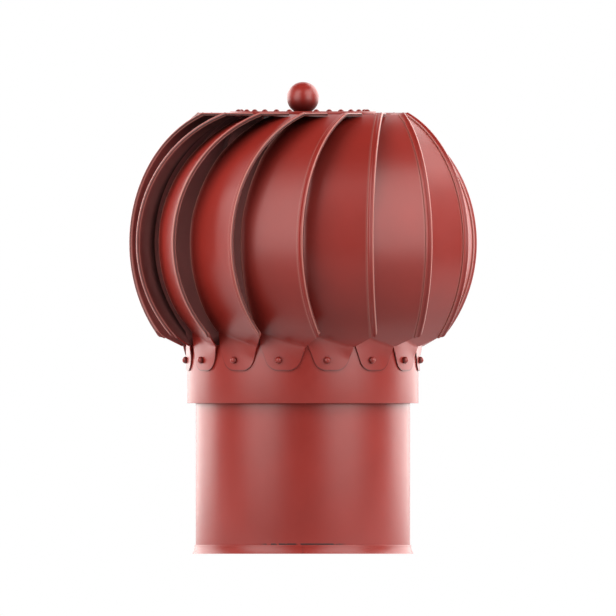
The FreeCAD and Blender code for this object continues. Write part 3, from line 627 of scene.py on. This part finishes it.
def hemmed_strip(rows=60, bend_rows=7, level_rows=8):
    """Rolled rows, rows round the bend, and level rows that run inwards from the last of them."""
    top = bent_rows(bend_rows)
    x, y, z = top[-1].T
    inward = flange_reach(y) * np.linspace(0, 1, level_rows)[1:, None]
    level = np.stack([x - inward, y + 0 * inward, z + 0 * inward], axis=-1)
    points = np.concatenate([rolled_rows(rows), top, level])
    rows, columns = points.shape[:2]
    faces = grid_faces(rows, columns, wrap_columns=True)
    return points, faces, closed_end(columns, 0), closed_end(columns, rows - 1)


STRIP = hemmed_strip()
print(f"strip: {STRIP[0].shape[0]} x {STRIP[0].shape[1]} points")

# %% [markdown]
# The tab is pulled onto the round collar by its rivet, but only its middle touches: its sides stand off a
# little and show a dark line, which a painted shadow line along the tab's rim deepens. Its top runs through a
# soft fold into the strip. The tongue at the top is level, with a half-round end. A plane with a Solidify
# modifier would do, but two equal grids, a sheet's thickness apart and joined by a border, keep to the fold's
# own normals.

# %% tab and tongue
def slab(outer, normal):
    """Sheet between a grid and the same grid moved back along its normals by SHEET."""
    rows, columns = outer.shape[:2]
    count = rows * columns
    number = np.arange(count).reshape(rows, columns)
    rim = np.concatenate([number[0, :-1], number[:-1, -1], number[-1, :0:-1], number[:0:-1, 0]])
    border = np.stack([rim, np.roll(rim, -1), np.roll(rim, -1) + count, rim + count], axis=-1)
    points = np.concatenate([outer.reshape(-1, 3), (outer - SHEET * normal).reshape(-1, 3)])
    front = grid_faces(rows, columns)
    return points, front, front[:, ::-1] + count, border


def tab_outline(along):
    """Height of the tab's rim: flat foot, corners of TAB_CORNER, then straight sides up to the collar's top."""
    across = np.abs(along - TAB_SHIFT)
    rise = (COLLAR_TOP - TAB_FOOT) / (TAB_HALF - TAB_FOOT_HALF)
    reach = TAB_CORNER * math.tan(math.atan(rise) / 2)
    inside = np.clip(across - TAB_FOOT_HALF + reach, 0.0, TAB_CORNER)
    curve = TAB_FOOT + TAB_CORNER - np.sqrt(TAB_CORNER ** 2 - inside ** 2)
    side = TAB_FOOT + (across - TAB_FOOT_HALF) * rise
    return np.where(across > TAB_FOOT_HALF + reach * math.cos(math.atan(rise)), side, curve)


def blade_tab(rows=18, fold_rows=9, columns=49):
    """Grid from the rim to the fold, bowed back by a share of u^2 / 2R at u off the middle and straight again at
    the fold, then (1-t)^2 A + 2t(1-t) F + t^2 B from plane to strip about the fold F."""
    along = TAB_SHIFT - TAB_HALF + 2 * TAB_HALF * np.linspace(0, 1, columns)
    x = TAB_FACE * math.cos(TAB_TURN) - along * math.sin(TAB_TURN)
    y = TAB_FACE * math.sin(TAB_TURN) + along * math.cos(TAB_TURN)
    soft = fold_softness(along)
    fold_angle = -np.arccos((x - ROLL_AXIS) / ROLL)
    fold_z = MIDDLE + ROLL * np.sin(fold_angle)
    rim = tab_outline(along)
    climb = np.linspace(0, 1, rows)[:, None]
    height = rim + (fold_z - soft - rim) * climb
    bow = TAB_BOW * along ** 2 / (2 * TAB_FACE) * ease((fold_z - soft - height) / TAB_BOW_RISE)
    flat = np.stack([x - bow * math.cos(TAB_TURN), y - bow * math.sin(TAB_TURN), height], axis=-1)
    begin, turn_point = flat[-1], np.stack([x, y, fold_z], axis=-1)
    angle = fold_angle + soft / ROLL
    finish = np.stack([ROLL_AXIS + ROLL * np.cos(angle), y, MIDDLE + ROLL * np.sin(angle)], axis=-1)
    t = np.linspace(0, 1, fold_rows)[1:, None, None]
    fold = (1 - t) ** 2 * begin + 2 * t * (1 - t) * turn_point + t ** 2 * finish
    plane = np.array([math.cos(TAB_TURN), math.sin(TAB_TURN), 0.0])
    strip_normal = np.stack([np.cos(angle), 0 * angle, np.sin(angle)], axis=-1)
    blend = np.concatenate([np.zeros(rows), np.linspace(0, 1, fold_rows)[1:]])[:, None, None]
    normal = (1 - blend) * plane + blend * strip_normal
    return slab(np.concatenate([flat, fold]), normal / np.linalg.norm(normal, axis=-1, keepdims=True))


def blade_tongue():
    """Level tongue under the crown disc: half-width FLAP_ROUND, closed by a half-round end at the rivet."""
    swing = np.linspace(0, np.pi / 2, 12)
    x = np.concatenate([np.linspace(BEND_X, FLAP_X, 5)[:-1], FLAP_X - FLAP_ROUND * np.sin(swing)])[:, None]
    width = np.concatenate([np.full(4, FLAP_ROUND), FLAP_ROUND * np.cos(swing)])[:, None]
    across = np.linspace(-1, 1, 9)
    grid = np.stack([x + 0 * across, FLAP_Y + width * across, HEAD_TOP + 0 * x * across], axis=-1)
    return slab(grid, np.array([0.0, 0.0, 1.0]))


TAB, TONGUE = blade_tab(), blade_tongue()
print(f"tab {len(TAB[0])} points, tongue {len(TONGUE[0])} points")

# %% [markdown]
# The first number is painted shade: the share of the coat's colour that is kept, the rest going to near black.
# It is low where the next blade shades this one, most of all near the top where the blades crowd together, a
# little low on the underside, and low on cut rims. An Ambient Occlusion node would find such places too, but it
# is slow, so the share is written on the points.

# %% painted shade of a blade
SHADE_REACH = 15.0
SHADE_FLOOR, SHADE_FLOOR_TOP = 0.55, 0.10
CROWDED_FROM, CROWDED_OVER = 10.0, 70.0
UNDER_SHADE, UNDER_OVER = 0.22, 65.0
FOOT_FADE = 8.0
INSIDE_REACH, INSIDE_FADE = 49.0, 20.0
INSIDE_TOP, INSIDE_TOP_FADE = 88.0, 30.0
RIM_FLOOR, RIM_WIDE, RIM_BELOW = 0.25, 1.2, 4.0
CREST_SHADE, CREST_WIDE = 0.75, 0.16


def from_floor(low, share):
    """Colour kept under painted shade, rising from low to full: low + (1 - low) ease(share)."""
    return low + (1 - low) * ease(share)


def above_foot(z):
    """0 at the fold of the tab, 1 from FOOT_FADE above it."""
    return ease((z - FOLD_Z) / FOOT_FADE)


def outer_unshaded(y, z):
    """Painted shade on the outer face: deepest at the inner edge, more on the underside, none on the tab."""
    high = ease((z - MIDDLE - CROWDED_FROM) / CROWDED_OVER)
    low = SHADE_FLOOR + (SHADE_FLOOR_TOP - SHADE_FLOOR) * high
    unshaded = from_floor(low, (y - inner_edge(z)) / (SHADE_REACH * (1 + high)))
    under = 1 - UNDER_SHADE * ease((MIDDLE - z) / UNDER_OVER)
    return 1 - (1 - unshaded * under) * above_foot(z)


def inner_unshaded(y, z):
    """Painted shade on the inner face: none near the gap, deepening towards the inner edge and near the top."""
    inwards = ease((y - EDGE_Y + INSIDE_REACH) / INSIDE_FADE)
    return inwards * ease((MIDDLE + INSIDE_TOP - z) / INSIDE_TOP_FADE)


def tab_rim_unshaded(x, y, z):
    """Painted shade on the tab: none, but a dark painted shadow line along its cut rim."""
    rim = tab_outline(y * math.cos(TAB_TURN) - x * math.sin(TAB_TURN))
    return np.where(z < COLLAR_TOP - RIM_BELOW, from_floor(RIM_FLOOR, (z - rim) / RIM_WIDE), 1.0)


def crest_unshaded(y, z):
    """Painted shade as a thin dark line along the very crest of the fold."""
    return 1 - CREST_SHADE * bell(EDGE_Y - y, CREST_WIDE) * above_foot(z)


print(f"cover at mid-height from {outer_unshaded(INNER_Y, MIDDLE):.2f} to {outer_unshaded(EDGE_Y, MIDDLE):.2f}")

# %% [markdown]
# The second number is painted highlight: thin pale lines on the two shoulders of the hem's fold, on the lip of
# the folded leaf and on the inner bead, which stand proud and catch the light.
# Pointiness from a Geometry node could find them, but it depends on how fine the mesh is. Bell curves about
# each line are exact.

# %% painted highlights of a blade
HIGHLIGHT_GAIN = 0.85
SHOULDER_OFF, SHOULDER_WIDE = 0.55, 0.28
LIP_HIGHLIGHT, LIP_OFF, LIP_WIDE = 0.5, HEM - 0.2, 0.35
BEAD_OFF, BEAD_WIDE = 0.7, 0.6


def fold_highlight(y, z, inside):
    """Painted highlights on the shoulders of the hem's fold, a fainter one on its lip and one on the inner bead.
    """
    off = EDGE_Y - y
    shoulders = bell(off - SHOULDER_OFF, SHOULDER_WIDE)
    lip = LIP_HIGHLIGHT * bell(off - LIP_OFF, LIP_WIDE)
    bead = bell(y - inner_edge(z) - BEAD_OFF, BEAD_WIDE)
    return np.clip(HIGHLIGHT_GAIN * (shoulders + bead + np.where(inside, 0, lip)), 0, 1) * above_foot(z)


def rows_of(items, name):
    """One vector of each item, as rows of three numbers."""
    values = np.empty(3 * len(items))
    items.foreach_get(name, values)
    return values.reshape(-1, 3)


def points_of(piece):
    """All points of a piece, in millimetres."""
    return rows_of(piece.data.vertices, "co") / MM


def carry(piece, name, amount):
    """The piece's points carry an amount under a name."""
    piece.data.attributes.new(name, "FLOAT", "POINT").data.foreach_set("value", amount.astype(np.float32))


def about_z(points, degrees):
    """Points turned about Z by an angle in degrees."""
    a = np.radians(degrees)
    x, y, z = points[..., 0], points[..., 1], points[..., 2]
    return np.stack([x * np.cos(a) - y * np.sin(a), x * np.sin(a) + y * np.cos(a), z], axis=-1)


def carry_painted_light(piece, heading):
    """Painted shade and highlight per point, in the blade's own frame; inside is where n . p < 0 from the roll's
    axis.
    """
    x, y, z = about_z(points_of(piece), -heading).T
    normal_x, _, normal_z = about_z(rows_of(piece.data.vertex_normals, "vector"), -heading).T
    inside = normal_x * (x - ROLL_AXIS) + normal_z * (z - MIDDLE) < 0
    unshaded = np.where(inside, inner_unshaded(y, z), outer_unshaded(y, z) * tab_rim_unshaded(x, y, z))
    carry(piece, "unshaded", unshaded * crest_unshaded(y, z))
    carry(piece, "highlight", fold_highlight(y, z, inside))


print(f"rub at the edge {fold_highlight(EDGE_Y - SHOULDER_OFF, MIDDLE, False):.2f}")

# %% [markdown]
# Strip, tab and tongue are joined into one piece and turned to the fifteen places round the head. An Array
# modifier would save memory, but every blade stands for a solid of its own. Faces that look inwards get the
# matt inner coat, greyed by a painted reflection.

# %% the fifteen blades
def coat_inside(piece, heading):
    """Faces that look at the roll's axis get the inner coat: where n . p < -|p| / 2 for a face at p from it."""
    faces = piece.data.polygons
    normal, centre = (about_z(rows_of(faces, name), -heading) for name in ("normal", "center"))
    arm = (centre - np.array([ROLL_AXIS, 0.0, MIDDLE]) * MM) * np.array([1.0, 0.0, 1.0])
    inside = (normal * arm).sum(axis=1) < -0.5 * np.linalg.norm(arm, axis=1)
    piece.data.materials.append(INNER_REFLECTION_COAT)
    faces.foreach_set("material_index", inside.astype(np.int32))


for number in range(BLADES):
    heading = -90.0 - BLADE_ANGLE + number * 2 * HALF_PITCH
    parts = [(about_z(part[0], heading), *part[1:]) for part in (STRIP, TAB, TONGUE)]
    blade = make_piece(f"rolled_blade_{number + 1:02d}", parts)
    place_piece(blade, BLADE_RED, "red_paint", "rotor", f"blade_{number + 1:02d}")
    # painted shade and painted highlights on the blade's points
    carry_painted_light(blade, heading)
    # inner faces get the matt coat with its painted reflection
    coat_inside(blade, heading)

# %% [markdown]
# Round-headed rivets hold the tabs to the collar. Each is a small outline turned about its own axis, and the
# ring of fifteen is one array. A ball pushed into the tab would show the same head, but leave faces inside.
# Painted shade darkens the corner round each rivet, so its points keep less colour there.

# %% collar rivets
RIVET_SHANK = 1.4
RIVET_TAIL = 2.6
RIVET_TAIL_HEIGHT = 0.8
RIVET_BREAK = 0.2
RIVET_BALL = 2.45
RIVET_RISE = 0.75
RIVET_DROP = 10.4
CORNER_FLOOR, CORNER_FROM, CORNER_OVER = 0.25, 0.6, 2.4


def rivet(under, over, head, steps=28):
    """Profile of (height along the axis, radius) turned about +X from pole to pole: a flat tail that ends at
    under, a shank up to over, and the head."""
    low, broken = under - RIVET_TAIL_HEIGHT, RIVET_TAIL - RIVET_BREAK
    tail = [(low, 0.0), (low, broken), (low + RIVET_BREAK, RIVET_TAIL), (under, RIVET_TAIL)]
    profile = np.concatenate([np.array([*tail, (under, RIVET_SHANK), (over, RIVET_SHANK)]), head])
    turn = np.linspace(0, 2 * np.pi, steps, endpoint=False)
    return np.roll(swept(profile[:, ::-1], turn), 1, axis=-1)


def ring_of(points, first):
    """One (points, faces) pair for each of the fifteen places, the first at an angle from +X."""
    faces = grid_faces(points.shape[0], points.shape[1], wrap_columns=True)
    return [(about_z(points, first + number * 2 * HALF_PITCH), faces) for number in range(BLADES)]


def collar_rivet():
    """Round head on the tab, shank, and flat tail inside the collar."""
    swing = np.linspace(math.acos(-RIVET_RISE / RIVET_BALL), 0, 14)
    head = np.stack([TAB_FACE + RIVET_RISE + RIVET_BALL * np.cos(swing), RIVET_BALL * np.sin(swing)], axis=-1)
    tail = math.sqrt((COLLAR_RADIUS - COLLAR_SHEET) ** 2 - RIVET_TAIL ** 2) - FIT_GAP
    points = rivet(tail, TAB_FACE, head)
    points[..., 2] += COLLAR_TOP - RIVET_DROP
    return points


rivets = make_piece("collar_rivet_ring", ring_of(collar_rivet(), -90 - HALF_PITCH))
place_piece(rivets, BLADE_RED, "red_paint", "rotor", "collar_rivets")
proud = np.hypot(*points_of(rivets).T[:2]) - TAB_FACE
# painted shade in the corner round each rivet head
carry(rivets, "unshaded", from_floor(CORNER_FLOOR, (proud - CORNER_FROM) / CORNER_OVER))

# %% [markdown]
# Low domed rivets hold the tongues to the crown disc. A flattened sphere would look the same, but a true
# dome is a slice of a ball, so its profile is an arc, turned like the round heads and then stood upright.

# %% crown rivets
CROWN_CIRCLE = FLAP_X / math.cos(math.radians(BLADE_ANGLE + HALF_PITCH))
DISC_SHEET = 2.2
DISC_TOP = HEAD_TOP + DISC_SHEET
DOME_HALF = 2.2
DOME_HEIGHT = 1.4
DOME_FLOOR = 0.40


def crown_rivet():
    """Low dome z = h - (R - sqrt(R^2 - r^2)) on the disc, with a flat tail under the tongue."""
    dome = (DOME_HALF ** 2 + DOME_HEIGHT ** 2) / (2 * DOME_HEIGHT)
    swing = np.linspace(math.asin(DOME_HALF / dome), 0, 12)
    head = np.stack([DISC_TOP + DOME_HEIGHT - dome + dome * np.cos(swing), dome * np.sin(swing)], axis=-1)
    points = rivet(HEAD_TOP - SHEET, DISC_TOP, head)
    upright = np.stack([-points[..., 2], points[..., 1], points[..., 0]], axis=-1)
    upright[..., 0] += CROWN_CIRCLE
    return upright


domes = make_piece("crown_rivet_ring", ring_of(crown_rivet(), -90 + HALF_PITCH))
place_piece(domes, BLADE_RED, "red_paint", "rotor", "crown_rivets")
# painted shade: each dome darkens towards the disc
carry(domes, "unshaded", from_floor(DOME_FLOOR, (points_of(domes)[:, 2] - DISC_TOP) / DOME_HEIGHT))

# %% [markdown]
# The crown disc is flat sheet with its rim just broken. The ball that caps the shaft is turned: a short flat
# seat, then an arc up to the pole. A ready-made sphere has no seat. Painted shade darkens the ball's lower part
# towards the seat.

# %% crown disc and ball
SHAFT_HOLE = 4.05
RIM_BREAK = 0.3
DISC_RADIUS = CROWN_CIRCLE + 5.8
disc_outline = [(SHAFT_HOLE, HEAD_TOP), (DISC_RADIUS, HEAD_TOP), (DISC_RADIUS, DISC_TOP), (SHAFT_HOLE, DISC_TOP)]
disc = make_piece("crown_plate", [turned(rounded(disc_outline, RIM_BREAK), steps=192)])
place_piece(disc, RED, "red_paint", "rotor", "crown_disc")

BALL = 11.2
BALL_SEAT = 6.2
BALL_FLOOR, BALL_FROM, BALL_OVER = 0.10, 2.0, 0.95 * BALL
BALL_CENTRE = DISC_TOP + math.sqrt(BALL ** 2 - BALL_SEAT ** 2)
swing = np.linspace(-math.acos(BALL_SEAT / BALL), math.pi / 2, 40)
arc = np.stack([BALL * np.cos(swing), BALL_CENTRE + BALL * np.sin(swing)], axis=-1)
arc[-1, 0] = 0.0
seat = np.array([[0.0, BALL_CENTRE], [SHAFT_HOLE, BALL_CENTRE], [SHAFT_HOLE, DISC_TOP]])
ball = make_piece("ball_cap", [turned(np.concatenate([seat, arc]), steps=96)])
place_piece(ball, BLADE_RED, "red_paint", "rotor", "ball_knob")
# painted shade: the ball darkens towards its seat
carry(ball, "unshaded", from_floor(BALL_FLOOR, (points_of(ball)[:, 2] - DISC_TOP - BALL_FROM) / BALL_OVER))

# %% [markdown]
# The shaft, the clamp washer and the bearing housing come off the lathe. Stacked cylinders would do, but one
# outline of radius and height with its edges broken is a clean solid, and the gaps in the head let some show.

# %% turned works
JOURNAL, SHAFT = 4.0, 6.0
SHAFT_FOOT, SHOULDER = 153.3, 200.0
SHAFT_END = BALL_CENTRE - 0.1
WASHER_RADIUS, WASHER_FOOT = 18.0, HEAD_TOP - 2.5
LIP, BORE, GROOVE, SLEEVE, FLANGE = 8.6, 11.05, 11.95, 15.5, 26.0
HUB_TOP, LIP_TOP, FLANGE_TOP = 160.0, 163.0, 164.0
GROOVE_FOOT, GROOVE_TOP, HOUSING_TOP = 200.0, 201.3, 203.3
WORKS = [
    ("long_shaft", STEEL, "turned_steel", "rotor", "shaft",
     [(0, SHAFT_FOOT), (JOURNAL, SHAFT_FOOT), (JOURNAL, SHOULDER), (SHAFT, SHOULDER), (SHAFT, WASHER_FOOT),
      (JOURNAL, WASHER_FOOT), (JOURNAL, SHAFT_END), (0, SHAFT_END)]),
    ("clamp_washer", ZINC, "zinc_plate", "rotor", "crown_washer",
     [(SHAFT_HOLE, WASHER_FOOT), (WASHER_RADIUS, WASHER_FOOT), (WASHER_RADIUS, HEAD_TOP), (SHAFT_HOLE, HEAD_TOP)]),
    ("flanged_housing", HOUSING, "housing_cast", "base", "bearing_housing",
     [(LIP, HUB_TOP), (FLANGE, HUB_TOP), (FLANGE, FLANGE_TOP), (SLEEVE, FLANGE_TOP), (SLEEVE, HOUSING_TOP),
      (BORE, HOUSING_TOP), (BORE, GROOVE_TOP), (GROOVE, GROOVE_TOP), (GROOVE, GROOVE_FOOT), (BORE, GROOVE_FOOT),
      (BORE, LIP_TOP), (LIP, LIP_TOP)]),
]
for name, finish, slot, body, node, corners in WORKS:
    work = make_piece(name, [turned(rounded(corners, RIM_BREAK, steps=3), steps=96)])
    place_piece(work, finish, slot, body, node)

# %% [markdown]
# The spider, the fastenings and the bearings keep their solids. They could be drawn again like the rest, but
# hardly a glint of them shows, so they only get their metal.

# %% finishes of the solids that stay
KEPT = [
    (ZINC, ["spider", "housing_screws", "housing_nuts", "shaft_washer", "shaft_nut"]),
    (STEEL, ["inner_spacer", "outer_spacer", "snap_ring"]),
    (GROUND, ["lower_inner_race", "lower_outer_race", "lower_balls"]),
    (GROUND, ["upper_inner_race", "upper_outer_race", "upper_balls"]),
    (BRASS, ["lower_cage", "upper_cage"]),
]
for finish, nodes in KEPT:
    for node in nodes:
        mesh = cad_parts[node].data
        mesh.materials.clear()
        mesh.materials.append(finish)
print(sum(len(nodes) for _, nodes in KEPT), "solids keep their own shape")

# %% [markdown]
# The cowl stands before a white ground. Stronger lamps would burn it out to white, but bleach the paint too. So
# floor and world are pale only to rays in sight, from the camera or mirrored in the gloss, and dim as sources
# of light. The floor glows only in part, which keeps the cowl's shadow on it.

# %% floor and backdrop
FLOOR_HALF, FLOOR_LEVEL, FLOOR_ROUGH = 6.0, -0.0005, 0.7
FLOOR_DIM, FLOOR_PALE, FLOOR_GLOW = 0.34, 0.50, 0.45
WORLD_DIM, WORLD_WHITE = 0.22, 1.0


def in_sight(tree):
    """1 for rays that come from the camera or by way of gloss or glass, 0 for the rest."""
    path = tree.nodes.new("ShaderNodeLightPath")
    mirrored = worked(tree, "MAXIMUM", path.outputs["Is Camera Ray"], path.outputs["Is Glossy Ray"])
    return worked(tree, "MAXIMUM", mirrored, path.outputs["Is Transmission Ray"])


def two_levels(tree, socket, dim, pale):
    """Socket fed with dim for rays that carry light, with pale for rays in sight."""
    tree.links.new(spread(tree, in_sight(tree), dim, pale), socket)


def sheet_of(name, corners, paint):
    """Flat sheet of the studio with four corners and one paint, in metres."""
    mesh = bpy.data.meshes.new(name)
    mesh.from_pydata(corners, [], [(0, 1, 2, 3)])
    mesh.materials.append(paint)
    sheet = bpy.data.objects.new(name, mesh)
    bpy.context.scene.collection.objects.link(sheet)
    return sheet


floor_paint, floor_tree, floor_shader = new_finish("pale_floor")
floor_shader.inputs["Roughness"].default_value = FLOOR_ROUGH
floor_shader.inputs["Emission Color"].default_value = (1, 1, 1, 1)
two_levels(floor_tree, floor_shader.inputs["Base Color"], FLOOR_DIM, FLOOR_PALE)
two_levels(floor_tree, floor_shader.inputs["Emission Strength"], 0.0, FLOOR_GLOW)
signs = ((-1, -1), (1, -1), (1, 1), (-1, 1))
floor = sheet_of("floor", [(FLOOR_HALF * x, FLOOR_HALF * y, FLOOR_LEVEL) for x, y in signs], floor_paint)

world = bpy.data.worlds.new("white_ground")
bpy.context.scene.world = world
world.use_nodes = True
sky = world.node_tree
sky.nodes["Background"].inputs["Color"].default_value = (1, 1, 1, 1)
two_levels(sky, sky.nodes["Background"].inputs["Strength"], WORLD_DIM, WORLD_WHITE)
print(f"floor {2 * FLOOR_HALF:.0f} m wide before {world.name}")

# %% [markdown]
# Soft boxes light the cowl. Two tall ones in front give the two pale bands on the pipe and the sheen on the
# blades, and two behind give the bright rims. Two far out at the sides only fill in colour: they are hidden from
# reflections. A small one is high on the right. Point lamps would leave hard sparks on satin paint, so all are
# broad.

# %% soft boxes
AIM = Vector((0, 0, 0.18))
LAMP_COLOUR = (1.0, 0.975, 0.94)
BOXES = [  # name, azimuth from the camera, distance, height, width, tallness, glow
    ("front_left", -44, 1.3, 0.80, 0.95, 1.85, 2.05),
    ("side_left", -90, 2.4, 1.02, 2.00, 2.80, 2.5),
    ("front_right", 44, 1.3, 0.80, 0.95, 1.85, 2.05),
    ("side_right", 90, 2.4, 1.02, 2.00, 2.80, 2.5),
    ("rim_left", -135, 1.2, 0.25, 1.25, 1.15, 2.65),
    ("rim_right", 135, 1.2, 0.50, 1.25, 1.9, 2.5),
    ("high_right", 75, 0.9, 1.0, 0.6, 0.6, 1.8),
]


def soft_box(name, azimuth, distance, height, wide, tall, glow):
    """Area lamp at an azimuth from the camera's side, aimed at the head; its power is glow x pi x area."""
    lamp = bpy.data.lights.new(name, "AREA")
    lamp.shape = "RECTANGLE"
    lamp.size, lamp.size_y = wide, tall
    lamp.energy = glow * math.pi * wide * tall
    lamp.color = LAMP_COLOUR
    box = bpy.data.objects.new(name, lamp)
    a = math.radians(azimuth)
    box.location = (distance * math.sin(a), -distance * math.cos(a), height)
    box.rotation_euler = (AIM - box.location).to_track_quat("-Z", "Y").to_euler()
    box.visible_camera = False
    box.visible_glossy = not name.startswith("side")
    bpy.context.scene.collection.objects.link(box)


for box in BOXES:
    soft_box(*box)
print(len(BOXES), "soft boxes")

# %% [markdown]
# Cards stand between the boxes, as a photographer hangs black paper, so that the gloss mirrors something dark
# and the red stays deep. A grey one lies on the floor in front and a dark one hangs overhead. Making the paint
# duller would also deepen it, but then the pale bands would go as well.

# %% dark cards
BLACK, GREY = 0.02, 0.36
CARD_FOOT, CARD_TOP = -0.2, 1.8
CARD_ROUGH = 0.9


def hang_card(name, corners, tone):
    """Card that shows only in reflections."""
    paint, _, shader = new_finish(name)
    shader.inputs["Base Color"].default_value = (tone, tone, tone, 1)
    shader.inputs["Roughness"].default_value = CARD_ROUGH
    card = sheet_of(name, corners, paint)
    card.visible_camera = card.visible_diffuse = card.visible_shadow = card.visible_transmission = False


def upright_card(name, azimuth, distance, wide):
    """Black card across the line at an azimuth from the camera's side: centre c, ends c - w/2 and c + w/2."""
    a = math.radians(azimuth)
    centre = np.array([distance * math.sin(a), -distance * math.cos(a)])
    along = np.array([math.cos(a), math.sin(a)]) * wide / 2
    near, far = centre - along, centre + along
    hang_card(name, [(*near, CARD_FOOT), (*far, CARD_FOOT), (*far, CARD_TOP), (*near, CARD_TOP)], BLACK)


def level_card(name, half, front, back, height, tone):
    """Level card from -half to half across and from front to back."""
    places = ((-half, front), (half, front), (half, back), (-half, back))
    hang_card(name, [(*place, height) for place in places], tone)


upright_card("front_card", 0, 1.25, 0.76)
upright_card("left_card", -86, 1.0, 0.60)
upright_card("right_card", 86, 1.0, 0.52)
level_card("floor_card", 1.2, -1.3, -0.10, 0.001, GREY)
level_card("top_card", 1.6, -1.3, 1.4, CARD_TOP, BLACK)
print("cards hung up to", CARD_TOP, "m")

# %% [markdown]
# The photograph was taken from far off at the cowl's own height, so front and back rivets of the crown stand
# level. A long lens would come close. A level camera without perspective gives the same picture, and one pixel
# is then 0.7 mm everywhere.

# %% camera
PIXEL = 0.0007
FRAME_SIDE = 616
AXIS_PIXEL, FOOT_PIXEL = 302.9, 553.8
CAMERA_BACK = 3.0
camera_data = bpy.data.cameras.new("level_camera")
camera_data.type = "ORTHO"
camera_data.ortho_scale = FRAME_SIDE * PIXEL
camera_data.clip_end = 20.0
camera = bpy.data.objects.new("level_camera", camera_data)
centre = FRAME_SIDE / 2
camera.location = ((centre - AXIS_PIXEL) * PIXEL, -CAMERA_BACK, (FOOT_PIXEL - centre) * PIXEL)
camera.rotation_euler = (math.pi / 2, 0, 0)
bpy.context.scene.collection.objects.link(camera)
bpy.context.scene.camera = camera
bpy.context.scene.view_settings.view_transform = "Standard"
print(f"the picture is {1000 * camera_data.ortho_scale:.0f} mm wide")
